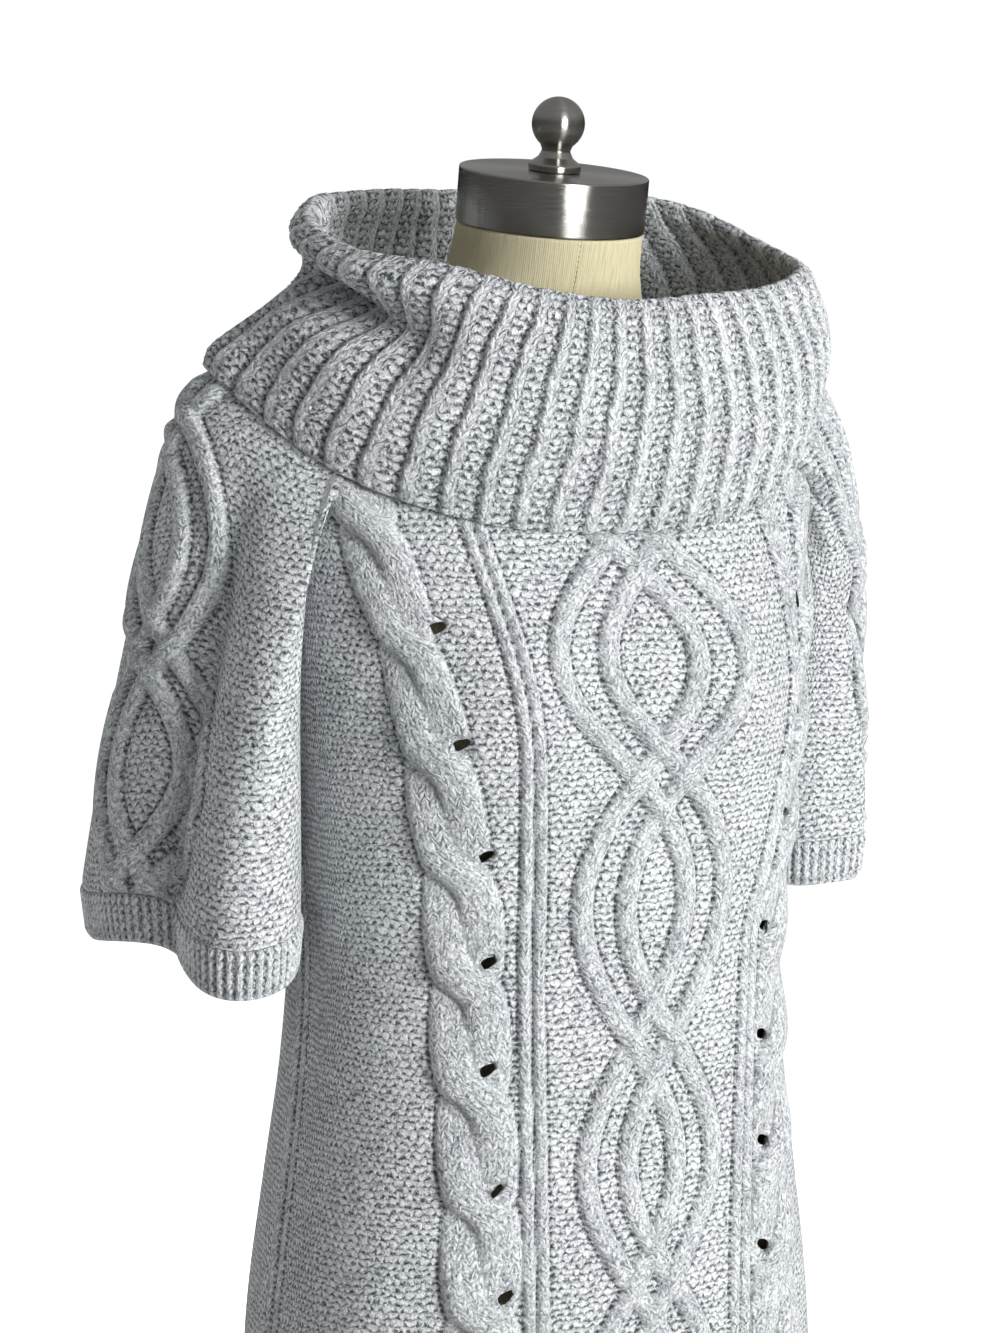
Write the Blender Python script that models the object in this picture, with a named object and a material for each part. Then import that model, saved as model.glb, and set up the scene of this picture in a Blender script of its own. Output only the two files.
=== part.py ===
"""A cable-knit sweater dress with a wide cowl collar, worn by a limbless dress form on a stand.

Metres, +Z up. The form faces -Y and the wearer's left is +X. The origin is on the floor, under the
middle of the stand's base. Angles run in degrees round the body from the centre front (0) over the
wearer's left side (+90) to the centre back (180).
"""
import math

import bpy
import numpy as np

# ------------------------------------------------------------------ driving sizes
cloth = 0.003              # the knit's wall
collar_cloth = 0.004       # the collar's thicker rib
seam = 0.0003              # gap between two pieces at their seam
lap = 0.0015               # how far the collar's edge hangs below the neckline in front
upright = 0.004            # last strip of cloth each side of a cuff's seam, which runs straight down
hem_height = 0.560
front_corner = 54          # where an armhole's front end meets the neckline
back_corner = 125          # and its back end
cuff_depth = 0.034
form_bottom = 0.715
neck_top = 1.490
neck_lean = 10             # the neck's top face tips forward
neck_forward = -0.021      # middle of that face
cap_radius = 0.0575
cap_height = 0.033
finial_radius = 0.016
pole_radius = 0.016
base_radius = 0.190
base_thickness = 0.012


def table(columns, *rows):
    """Rows of numbers as named columns."""
    return {name: np.array(column, float) for name, column in zip(columns.split(), zip(*rows))}


# The dress's body, outer face. Each row is one level section.
BODY = table(
    "height half_width front back",
    (hem_height, 0.192, 0.136, 0.140),
    (0.700, 0.187, 0.133, 0.139),
    (0.820, 0.182, 0.128, 0.136),
    (0.900, 0.172, 0.124, 0.127),
    (0.980, 0.162, 0.121, 0.114),
    (1.050, 0.158, 0.119, 0.107),
    (1.120, 0.163, 0.121, 0.109),
    (1.200, 0.170, 0.125, 0.116),
    (1.260, 0.174, 0.118, 0.121),
    (1.315, 0.178, 0.105, 0.122),
    (1.350, 0.180, 0.094, 0.119),
    (1.395, 0.182, 0.080, 0.110))

# How high the body's panels reach where the armhole cuts them.
ARMHOLE = table(
    "angle height",
    (64, 1.332), (73, 1.303), (80, 1.245), (85, 1.192), (90, 1.170),
    (96, 1.192), (102, 1.255), (110, 1.325), (118, 1.370))

# The neckline, where the collar is sewn on, from centre back round the front to centre back.
NECKLINE = table(
    "angle x y height",
    (-180, 0.000, 0.118, 1.372), (-155, -0.080, 0.110, 1.378), (-125, -0.154, 0.075, 1.392),
    (-108, -0.185, 0.048, 1.400), (-90, -0.202, 0.018, 1.403), (-72, -0.184, -0.024, 1.375),
    (-54, -0.154, -0.060, 1.347), (-28, -0.088, -0.097, 1.321), (0, 0.000, -0.105, 1.312),
    (28, 0.086, -0.096, 1.318), (54, 0.150, -0.060, 1.351), (72, 0.177, -0.024, 1.384),
    (90, 0.193, 0.015, 1.404), (108, 0.180, 0.046, 1.402), (125, 0.152, 0.074, 1.392),
    (155, 0.080, 0.110, 1.378), (180, 0.000, 0.118, 1.372))

# The collar's free edge, round the same way: distance from the neck's axis, height, and how far
# the collar bellies out between seam and edge (or in, over the wearer's right shoulder blade).
RIM = table(
    "angle radius height belly",
    (-180, 0.116, 1.514, 0.010), (-155, 0.118, 1.513, 0.000), (-135, 0.125, 1.510, -0.014),
    (-110, 0.137, 1.504, -0.022), (-90, 0.146, 1.488, -0.016), (-70, 0.145, 1.474, 0.004),
    (-50, 0.135, 1.466, 0.012), (-25, 0.127, 1.451, 0.014), (0, 0.125, 1.444, 0.014),
    (22, 0.131, 1.447, 0.014), (45, 0.150, 1.452, 0.014), (70, 0.172, 1.466, 0.014),
    (90, 0.174, 1.480, 0.013), (112, 0.165, 1.505, 0.012), (135, 0.148, 1.516, 0.012),
    (158, 0.125, 1.516, 0.012), (180, 0.116, 1.514, 0.010))
rim_centre_y = 0.005

# Each sleeve's lower end: an oval round (x, y), "across" wide each way and "along" deep, with a fold
# at "fold_turn" and its front bent inward. "over" leads the cloth over the shoulder, "hang" into the
# cuff, and "wrap" turns the tube forward. Each hem's height is drafted round the oval.
SLEEVE = {
    "right": dict(side=-1, x=-0.218, y=0.034, across=0.056, along=0.115, blunt=1.0, wrap=0.0,
                  over=(0.028, 0.016, -0.030), hang=(0.022, 0.130), fold=0.024, fold_turn=0.395),
    "left": dict(side=1, x=0.208, y=0.068, across=0.045, along=0.104, blunt=0.55, wrap=0.120,
                 over=(0.060, 0.014, -0.034), hang=(-0.018, 0.090), fold=0.010, fold_turn=0.365),
}
HEM = {
    "right": table("turn height", (0.00, 1.090), (0.10, 1.090), (0.20, 1.0845), (0.33, 1.0835),
                   (0.44, 1.102), (0.56, 1.092), (0.78, 1.090), (1.00, 1.090)),
    "left": table("turn height", (0.00, 1.100), (0.10, 1.100), (0.20, 1.100), (0.30, 1.103),
                  (0.37, 1.112), (0.45, 1.123), (0.58, 1.116), (0.80, 1.102), (1.00, 1.100)),
}

# The form: a linen-covered torso and neck. "middle" is the section's centre, front to back, "square"
# is 1 on an oval section and less on a boxier one, and "lean" tips a section forward, in degrees.
FORM = table(
    "height half_width front back middle square lean",
    (form_bottom, 0.150, 0.092, 0.108, 0.000, 0.90, 0),
    (0.735, 0.160, 0.100, 0.118, 0.000, 0.90, 0),
    (0.780, 0.169, 0.107, 0.125, 0.000, 0.90, 0),
    (0.840, 0.171, 0.109, 0.125, 0.000, 0.90, 0),
    (0.910, 0.158, 0.106, 0.110, 0.000, 0.90, 0),
    (0.980, 0.134, 0.098, 0.092, 0.000, 0.90, 0),
    (1.040, 0.123, 0.092, 0.084, 0.000, 0.90, 0),
    (1.100, 0.131, 0.096, 0.087, 0.000, 0.90, 0),
    (1.160, 0.144, 0.102, 0.094, 0.000, 0.88, 0),
    (1.210, 0.153, 0.104, 0.100, 0.000, 0.86, 0),
    (1.260, 0.161, 0.099, 0.103, 0.000, 0.82, 0),
    (1.300, 0.168, 0.088, 0.102, 0.000, 0.78, 0),
    (1.340, 0.176, 0.072, 0.092, 0.000, 0.74, 0),
    (1.366, 0.184, 0.058, 0.080, 0.002, 0.72, 0),
    (1.386, 0.1885, 0.047, 0.068, 0.003, 0.72, 0),
    (1.399, 0.181, 0.040, 0.058, 0.004, 0.74, 0),
    (1.407, 0.162, 0.040, 0.053, 0.004, 0.78, 0),
    (1.413, 0.136, 0.044, 0.052, 0.003, 0.84, 0),
    (1.421, 0.110, 0.050, 0.053, 0.001, 0.88, 1),
    (1.430, 0.087, 0.055, 0.054, -0.001, 0.92, 3),
    (1.443, 0.069, 0.057, 0.055, -0.005, 0.97, 5),
    (1.460, 0.061, 0.058, 0.057, -0.011, 1.00, 7),
    (neck_top, 0.0562, 0.0562, 0.0562, neck_forward, 1.00, neck_lean))

bust = dict(x=0.082, height=1.212, spread=0.042, form=0.026, dress=0.013)


# ------------------------------------------------------------------ formulas
def smooth(at, knots, values):
    """Cubic curve through values at knots, each knot's slope taken from its two neighbours."""
    slopes = np.gradient(values, knots)
    at = np.clip(at, knots[0], knots[-1])
    i = np.clip(np.searchsorted(knots, at, side="right") - 1, 0, len(knots) - 2)
    span = knots[i + 1] - knots[i]
    t = (at - knots[i]) / span
    rise = 3 * t**2 - 2 * t**3
    return ((1 - rise) * values[i] + rise * values[i + 1]
            + span * (t * (1 - t)**2 * slopes[i] - t**2 * (1 - t) * slopes[i + 1]))


def ease(at, start, end):
    """0 before start, 1 after end, and smooth between."""
    t = np.clip((at - start) / (end - start), 0, 1)
    return 3 * t**2 - 2 * t**3


def bump(at, middle, spread):
    """1 at the middle, falling off as a bell curve."""
    return np.exp(-((at - middle) / spread)**2)


def unit(vectors):
    """Vectors scaled to length 1."""
    return vectors / np.linalg.norm(vectors, axis=-1, keepdims=True)


def section(angle, half_width, front, back, squareness):
    """Level section: x = half_width sin^p and y = -depth cos^p, so p under 1 squares the oval."""
    sine = np.sin(np.radians(angle))
    cosine = np.cos(np.radians(angle))
    depth = np.where(cosine > 0, front, back)
    x = half_width * np.sign(sine) * np.abs(sine)**squareness
    y = -depth * np.sign(cosine) * np.abs(cosine)**squareness
    return x, y


def bust_rise(x, angle, height, amount):
    """How far the two cups stand forward: a bell curve about each bust point."""
    front_side = np.clip(np.cos(np.radians(angle)), 0, 1)**0.5
    return amount * front_side * bump(np.abs(x), bust["x"], bust["spread"]) \
        * bump(height, bust["height"], bust["spread"] * 1.3)


def neckline(angle):
    """The neckline's point at an angle."""
    return np.stack([smooth(angle, NECKLINE["angle"], NECKLINE[axis])
                     for axis in ("x", "y", "height")], axis=-1)


def body_point(angle, height):
    """The body's outer face at an angle and a height."""
    size = [smooth(height, BODY["height"], BODY[name]) for name in ("half_width", "front", "back")]
    x, y = section(angle, *size, 0.80)
    y = y - bust_rise(x, angle, height, bust["dress"])
    return np.stack([x, y, height + 0 * x], axis=-1)


def panel_top(angle):
    """How high a panel reaches: the neckline, or the armhole between its two corners."""
    on_side = np.where(angle < 0, -1, 1)
    corner = [neckline(on_side * corner)[..., 2] for corner in (front_corner, back_corner)]
    knots = np.concatenate([[front_corner], ARMHOLE["angle"], [back_corner]])
    arm = np.abs(angle)
    sides = [smooth(arm, knots, np.concatenate([[neckline(side * front_corner)[2]],
                                                ARMHOLE["height"],
                                                [neckline(side * back_corner)[2]]]))
             for side in (-1, 1)]
    in_armhole = (arm > front_corner) & (arm < back_corner)
    return np.where(in_armhole, np.where(angle < 0, sides[0], sides[1]), neckline(angle)[..., 2])


def panel_point(angle, up):
    """A panel's outer face: up runs 0 at the hem to 1 at the top edge, which ends on the neckline."""
    top = panel_top(angle)
    height = hem_height + up * (top - hem_height)
    point = body_point(angle, height)
    target = neckline(np.clip(np.abs(angle), 0, 180) * np.where(angle < 0, -1, 1))
    miss = (target - body_point(angle, top)) * [1, 1, 0]
    arm = np.abs(angle)
    reach = 1 - ease(arm, front_corner, front_corner + 12) + ease(arm, back_corner - 12, back_corner)
    share = ease(height, 1.20, 1.36 + 0 * top) / np.maximum(ease(top, 1.20, 1.36), 0.01)
    return point + miss * (reach * np.clip(share, 0, 1))[..., None]


def outward(point, rise):
    """Direction out from the body's axis, with a given upward part."""
    flat = point * [1, 1, 0]
    return unit(unit(flat) + np.array([0, 0, 1]) * np.asarray(rise)[..., None])


def armhole_point(side, turn):
    """A sleeve's top edge. turn 0 is the underarm, 0.3 the front corner, 0.7 the back corner."""
    angle = np.select(
        [turn < 0.3, turn < 0.7],
        [90 - (90 - front_corner) * turn / 0.3,
         front_corner + (back_corner - front_corner) * (turn - 0.3) / 0.4],
        back_corner - (back_corner - 90) * (turn - 0.7) / 0.3) * side
    on_shoulder = (turn >= 0.3) & (turn <= 0.7)
    point = np.where(on_shoulder[..., None], neckline(angle), panel_point(angle, np.ones_like(angle)))
    high = 0.5 - 0.5 * np.cos(2 * np.pi * turn)
    return point + outward(point, 0.7 * high**2) * (seam * 2 + (cloth + seam) * high)[..., None]


def sleeve_end(name, turn, grow=0.0):
    """A sleeve's lower edge: an oval with one deep fold pushed in. blunt under 1 squares its front."""
    hang = SLEEVE[name]
    turn = turn + hang["wrap"] * np.sin(2 * np.pi * turn)
    beta = np.radians(-90 + 360 * turn)
    from_fold = turn - hang["fold_turn"]
    spread = np.where(from_fold < 0, 0.036, 0.060)
    squash = 1 - hang["fold"] / hang["across"] * np.exp(-np.abs(from_fold / spread)**1.7)
    square = 1 - (1 - hang["blunt"]) * ease(np.cos(beta), -0.3, 0.3)
    wide = np.sign(np.sin(beta)) * np.abs(np.sin(beta))**square
    deep = np.sign(np.cos(beta)) * np.abs(np.cos(beta))**square
    x = hang["x"] + hang["side"] * (hang["across"] + grow) * wide * squash
    y = hang["y"] - (hang["along"] + grow) * deep * squash
    return np.stack([x, y, smooth(turn, HEM[name]["turn"], HEM[name]["height"])], axis=-1)


def sleeve_point(name, turn, down):
    """A sleeve's outer face: a cubic Bezier curve from the armhole (down 0) to the cuff (1)."""
    hang = SLEEVE[name]
    side = hang["side"]
    start = armhole_point(side, turn)
    end = sleeve_end(name, turn)
    high = 0.5 - 0.5 * np.cos(2 * np.pi * turn)
    forward = np.sin(2 * np.pi * turn)
    over_x, over_y, over_z = hang["over"]
    hang_x, hang_z = hang["hang"]
    low = 0.05
    leave = np.stack([side * (0.004 + over_x * high), -over_y * forward,
                      -low + (over_z + low) * high], axis=-1)
    arrive = np.stack([-side * hang_x * high, 0.004 * forward, hang_z * (0.45 + 0.55 * high)], axis=-1)
    t = down[..., None]
    return ((1 - t)**3 * start + 3 * (1 - t)**2 * t * (start + leave)
            + 3 * (1 - t) * t**2 * (end + arrive) + t**3 * end)


def collar_point(angle, up):
    """The collar's outer face: up runs 0 at the seam to 1 at the rim, bellied, with one pinch."""
    seat = neckline(angle)
    by_sleeve = ease(np.abs(angle), 20, front_corner - 6) - ease(np.abs(angle), back_corner + 6, 165)
    on_right = np.clip(-np.sin(np.radians(angle)), 0, 1)**2
    stand_off = collar_cloth + 2 * seam + (cloth + seam * (4 + 4 * on_right)) * by_sleeve
    seat = seat + outward(seat, 0.22 + 0.60 * on_right) * stand_off[..., None]
    seat = seat - np.array([0, 0, lap]) * np.clip(np.cos(np.radians(angle)), 0, 1)[..., None]**4
    radius = smooth(angle, RIM["angle"], RIM["radius"])
    rim = np.stack([radius * np.sin(np.radians(angle)),
                    rim_centre_y - radius * np.cos(np.radians(angle)),
                    smooth(angle, RIM["angle"], RIM["height"])], axis=-1)
    out = outward((seat + rim) / 2, np.zeros_like(angle))
    belly = smooth(angle, RIM["angle"], RIM["belly"])
    belly = belly * np.sin(np.pi * up)**np.where(belly < 0, 2, 1)
    pinch = 0.040 * bump(angle, -73, 21) * bump(up, 0.66, 0.13) \
        + 0.009 * bump(angle, -49, 8) * bump(up, 0.55, 0.22)
    lobe = 0.011 * bump(angle, -64, 28) * bump(up, 0.91, 0.10)
    share = up[..., None]
    return seat * (1 - share) + rim * share + out * (belly - pinch + lobe)[..., None]


# ------------------------------------------------------------------ making meshes
def material(name, colour, roughness, metallic=0.0):
    """A plain Principled material."""
    made = bpy.data.materials.new(name)
    made.use_nodes = True
    shader = made.node_tree.nodes["Principled BSDF"]
    shader.inputs["Base Color"].default_value = (*colour, 1)
    shader.inputs["Roughness"].default_value = roughness
    shader.inputs["Metallic"].default_value = metallic
    return made


def add_object(name, points, faces, finish, smooth_shaded=True):
    """A named object from points and faces, with its material."""
    mesh = bpy.data.meshes.new(name)
    mesh.from_pydata([tuple(point) for point in points], [], faces)
    mesh.validate()
    mesh.materials.append(finish)
    if smooth_shaded:
        mesh.shade_smooth()
        mesh.set_sharp_from_angle(angle=math.radians(50))
    made = bpy.data.objects.new(name, mesh)
    bpy.context.scene.collection.objects.link(made)
    return made


def grid_faces(rows, columns, closed, flip):
    """Quads of a grid of points whose rows may close on themselves."""
    faces = []
    for row in range(rows - 1):
        for column in range(columns if closed else columns - 1):
            after = (column + 1) % columns
            quad = [row * columns + column, row * columns + after,
                    (row + 1) * columns + after, (row + 1) * columns + column]
            faces.append(quad[::-1] if flip else quad)
    return faces


def knit_wall(name, points, finish, wall, closed=True, flip=False):
    """A cloth piece: a grid of outer points, with the wall's thickness laid inside it."""
    rows, columns = points.shape[:2]
    made = add_object(name, points.reshape(-1, 3), grid_faces(rows, columns, closed, flip), finish)
    thicken = made.modifiers.new("wall", "SOLIDIFY")
    thicken.thickness = wall
    thicken.offset = -1
    return made


def turned(name, profile, finish, steps, middle=(0, 0, 0), lean=0.0):
    """A solid of revolution from a profile of (radius, height) pairs, listed bottom to top."""
    points = []
    rings = []
    for radius, height in profile:
        if radius == 0:
            rings.append([len(points)])
            points.append((0, 0, height))
            continue
        rings.append(list(range(len(points), len(points) + steps)))
        points.extend((radius * math.sin(turn), -radius * math.cos(turn), height)
                      for turn in np.arange(steps) * 2 * math.pi / steps)
    faces = []
    for low, high in zip(rings, rings[1:]):
        for i in range(steps):
            after = (i + 1) % steps
            corners = [low[i % len(low)], low[after % len(low)], high[after % len(high)], high[i % len(high)]]
            faces.append(list(dict.fromkeys(corners)))
    made = add_object(name, points, faces, finish)
    made.location = middle
    made.rotation_euler = (math.radians(lean), 0, 0)
    return made


# ------------------------------------------------------------------ the pieces
def make_panels(finish):
    """Front and back, each from one side seam to the other."""
    half = np.array([0, 12, 24, 36, 46, front_corner, 60, 66, 72, 76, 80, 84, 90], float)
    back_half = 180 - np.array([0, 12, 24, 36, 46, 180 - back_corner, 62, 70, 77, 83, 90], float)
    up = np.concatenate([np.linspace(0, 0.60, 9), np.linspace(0.665, 0.94, 8), [1.0]])
    gap = math.degrees(seam / 2 / 0.17)
    front_half = half * (90 - gap) / 90
    front = np.concatenate([-front_half[:0:-1], front_half])
    back_half = back_half + gap * (180 - back_half) / 90
    back = np.concatenate([back_half[::-1], 360 - back_half[1:]])
    for name, angles in (("front", front), ("back", back)):
        wrapped = np.where(angles > 180, angles - 360, angles)
        angle, height = np.meshgrid(wrapped, up)
        knit_wall(name, panel_point(angle, height), finish, cloth, closed=False)


def make_sleeves(finish):
    """A sleeve and its cuff on each side. A wearer's right sleeve is on the -X side."""
    for name, hang in SLEEVE.items():
        crease = hang["fold_turn"]
        near = crease + np.array([-0.075, -0.045, -0.020, 0, 0.020, 0.045, 0.075])
        turns = np.concatenate([np.linspace(0, near[0], 11)[:-1], near,
                                np.linspace(near[-1], 1, 15)[1:-1]])
        turn, down = np.meshgrid(turns, np.linspace(0, 1, 12))
        edge = sleeve_end(name, turns)
        rows = np.concatenate([edge[None] - [0, 0, upright], sleeve_point(name, turn, down)[::-1]])
        knit_wall(f"sleeve_{name}", rows, finish, cloth, flip=hang["side"] < 0)
        hem = sleeve_end(name, turns, -0.004)
        drops = [upright + 3 * seam, 2 * upright + 3 * seam, cuff_depth / 2, cuff_depth]
        band = np.stack([edge + (hem - edge) * max(drop - 2 * upright, 0) / cuff_depth - [0, 0, drop]
                         for drop in drops[::-1]])
        knit_wall(f"cuff_{name}", band, finish, cloth, flip=hang["side"] < 0)


def make_collar(finish):
    """The cowl, one tube on the neckline."""
    angle, up = np.meshgrid(np.arange(-180, 180, 7.5), np.linspace(0, 1, 9))
    knit_wall("collar", collar_point(angle, up), finish, collar_cloth)


def make_form(linen, steel, iron):
    """Torso and neck, steel cap, finial, pole and base."""
    around = np.arange(0, 360, 9.0)
    angle, height = np.meshgrid(around, FORM["height"])
    size = [FORM[name][:, None] for name in ("half_width", "front", "back", "square")]
    x, y = section(angle, *size)
    y = y - bust_rise(x, angle, height, bust["form"])
    z = height + y * np.tan(np.radians(FORM["lean"]))[:, None]
    points = np.stack([x, y + FORM["middle"][:, None], z], axis=-1)
    rows, columns = points.shape[:2]
    faces = grid_faces(rows, columns, True, False)
    faces.append(list(range(columns))[::-1])
    faces.append(list(range((rows - 1) * columns, rows * columns)))
    add_object("form_torso", points.reshape(-1, 3), faces, linen)

    lean = math.radians(neck_lean)
    along = np.array([0, -math.sin(lean), math.cos(lean)])
    cap_middle = np.array([0, neck_forward, neck_top]) + seam * along
    edge = 0.0015
    turned("neck_cap", [(0, 0), (cap_radius - edge, 0), (cap_radius, edge),
                        (cap_radius, cap_height - edge), (cap_radius - edge, cap_height),
                        (0, cap_height)], steel, 48, cap_middle, neck_lean)
    knob = finial_radius
    knob_middle = 0.028
    ball = [(knob * math.cos(turn), knob_middle + knob * math.sin(turn))
            for turn in np.radians(np.arange(-52, 90, 14.2))]
    turned("finial", [(0, 0), (finial_radius, 0), (finial_radius, 0.004), (0.0105, 0.008),
                      (0.0085, 0.012)] + ball[:-1] + [(0, knob_middle + knob)],
           steel, 32, cap_middle + (cap_height + seam) * along, neck_lean)

    turned("stand_pole", [(0, 0), (pole_radius, 0), (pole_radius, form_bottom - base_thickness - 2 * seam),
                          (0, form_bottom - base_thickness - 2 * seam)],
           steel, 24, (0, 0, base_thickness + seam))
    turned("stand_base", [(0, 0), (base_radius, 0), (base_radius, base_thickness * 0.7),
                          (base_radius - 0.006, base_thickness), (0, base_thickness)], iron, 48)


def main():
    for old in list(bpy.data.objects):
        bpy.data.objects.remove(old, do_unlink=True)
    knit = material("heather_knit", (0.50, 0.54, 0.57), 0.95)
    linen = material("linen_cover", (0.62, 0.57, 0.43), 0.85)
    steel = material("brushed_steel", (0.60, 0.59, 0.57), 0.30, 1.0)
    iron = material("painted_iron", (0.03, 0.03, 0.03), 0.45)
    make_form(linen, steel, iron)
    make_panels(knit)
    make_sleeves(knit)
    make_collar(knit)


main()
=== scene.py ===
# %% [markdown]
# # A cable-knit sweater dress on a dress form
#
# The dress is a thick heather-grey knit with a wide ribbed cowl. It is worn by a limbless dress form
# with a linen cover and a steel cap, on a pole and a round base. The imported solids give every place
# and size. Here each cloth piece becomes a closed shell on the same surface, with its cables, ribs
# and eyelets as real relief, and each bare piece of the form gets a finer mesh and a finish.

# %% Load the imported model
import math

import bpy
import numpy as np
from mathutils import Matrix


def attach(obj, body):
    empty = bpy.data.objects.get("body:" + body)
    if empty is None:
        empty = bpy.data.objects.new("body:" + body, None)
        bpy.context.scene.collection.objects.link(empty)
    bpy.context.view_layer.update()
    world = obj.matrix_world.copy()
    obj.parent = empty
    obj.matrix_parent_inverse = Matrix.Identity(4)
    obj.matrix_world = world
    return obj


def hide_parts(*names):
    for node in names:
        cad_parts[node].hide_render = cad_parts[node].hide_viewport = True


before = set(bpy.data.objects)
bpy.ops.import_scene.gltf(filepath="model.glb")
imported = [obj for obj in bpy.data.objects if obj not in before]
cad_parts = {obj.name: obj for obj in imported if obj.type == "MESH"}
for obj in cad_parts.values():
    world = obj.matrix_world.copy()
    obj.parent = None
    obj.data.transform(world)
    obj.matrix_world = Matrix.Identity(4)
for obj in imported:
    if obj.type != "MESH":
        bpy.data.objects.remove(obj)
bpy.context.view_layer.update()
print("solids:", ", ".join(sorted(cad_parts)))

# %% [markdown]
# ## Sizes
#
# A garment is drafted from a few measured sections. Each table below is one such draft, and every
# surface later reads it through a smooth curve, so a single number moves the whole shape. Lengths are
# in metres and angles in degrees round the body: 0 is the centre front and 90 the wearer's left side.
# A turn counts once round a sleeve, from 0 to 1, and starts at the underarm.

# %% Drafted sections of the dress
cloth = 0.003
collar_cloth = 0.004
seam = 0.0003
lap = 0.0015
hem_height = 0.560
front_corner = 54
back_corner = 125
cuff_depth = 0.034
upright = 0.004        # how far a sleeve's lower edge hangs straight down
rim_centre_y = 0.005
waist = 1.050


def table(columns, *rows):
    """Rows of numbers as named columns."""
    return {name: np.array(column, float) for name, column in zip(columns.split(), zip(*rows))}


BODY = table(
    "height half_width front back",
    (hem_height, 0.192, 0.136, 0.140), (0.700, 0.187, 0.133, 0.139), (0.820, 0.182, 0.128, 0.136),
    (0.900, 0.172, 0.124, 0.127), (0.980, 0.162, 0.121, 0.114), (1.050, 0.158, 0.119, 0.107),
    (1.120, 0.163, 0.121, 0.109), (1.200, 0.170, 0.125, 0.116), (1.260, 0.174, 0.118, 0.121),
    (1.315, 0.178, 0.105, 0.122), (1.350, 0.180, 0.094, 0.119), (1.395, 0.182, 0.080, 0.110))
ARMHOLE = table(
    "angle height",
    (64, 1.332), (73, 1.303), (80, 1.245), (85, 1.192), (90, 1.170),
    (96, 1.192), (102, 1.255), (110, 1.325), (118, 1.370))
NECKLINE = table(
    "angle x y height",
    (-180, 0.000, 0.118, 1.372), (-155, -0.080, 0.110, 1.378), (-125, -0.154, 0.075, 1.392),
    (-108, -0.185, 0.048, 1.400), (-90, -0.202, 0.018, 1.403), (-72, -0.184, -0.024, 1.375),
    (-54, -0.154, -0.060, 1.347), (-28, -0.088, -0.097, 1.321), (0, 0.000, -0.105, 1.312),
    (28, 0.086, -0.096, 1.318), (54, 0.150, -0.060, 1.351), (72, 0.177, -0.024, 1.384),
    (90, 0.193, 0.015, 1.404), (108, 0.180, 0.046, 1.402), (125, 0.152, 0.074, 1.392),
    (155, 0.080, 0.110, 1.378), (180, 0.000, 0.118, 1.372))
RIM = table(
    "angle radius height belly",
    (-180, 0.116, 1.514, 0.010), (-155, 0.118, 1.513, 0.000), (-135, 0.125, 1.510, -0.014),
    (-110, 0.137, 1.504, -0.022), (-90, 0.146, 1.488, -0.016), (-70, 0.145, 1.474, 0.004),
    (-50, 0.135, 1.466, 0.012), (-25, 0.127, 1.451, 0.014), (0, 0.125, 1.444, 0.014),
    (22, 0.131, 1.447, 0.014), (45, 0.150, 1.452, 0.014), (70, 0.172, 1.466, 0.014),
    (90, 0.174, 1.480, 0.013), (112, 0.165, 1.505, 0.012), (135, 0.148, 1.516, 0.012),
    (158, 0.125, 1.516, 0.012), (180, 0.116, 1.514, 0.010))
SLEEVE = {
    "right": dict(side=-1, x=-0.218, y=0.034, across=0.056, along=0.115, blunt=1.0, wrap=0.0,
                  over=(0.028, 0.016, -0.030), hang=(0.022, 0.130), fold=0.024, fold_turn=0.395),
    "left": dict(side=1, x=0.208, y=0.068, across=0.045, along=0.104, blunt=0.55, wrap=0.120,
                 over=(0.060, 0.014, -0.034), hang=(-0.018, 0.090), fold=0.010, fold_turn=0.365),
}
HEM = {
    "right": table("turn height", (0.00, 1.090), (0.10, 1.090), (0.20, 1.0845), (0.33, 1.0835),
                   (0.44, 1.102), (0.56, 1.092), (0.78, 1.090), (1.00, 1.090)),
    "left": table("turn height", (0.00, 1.100), (0.10, 1.100), (0.20, 1.100), (0.30, 1.103),
                  (0.37, 1.112), (0.45, 1.123), (0.58, 1.116), (0.80, 1.102), (1.00, 1.100)),
}
print("drafts:", len(BODY["height"]), "body sections,", len(NECKLINE["angle"]), "neckline points")

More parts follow.
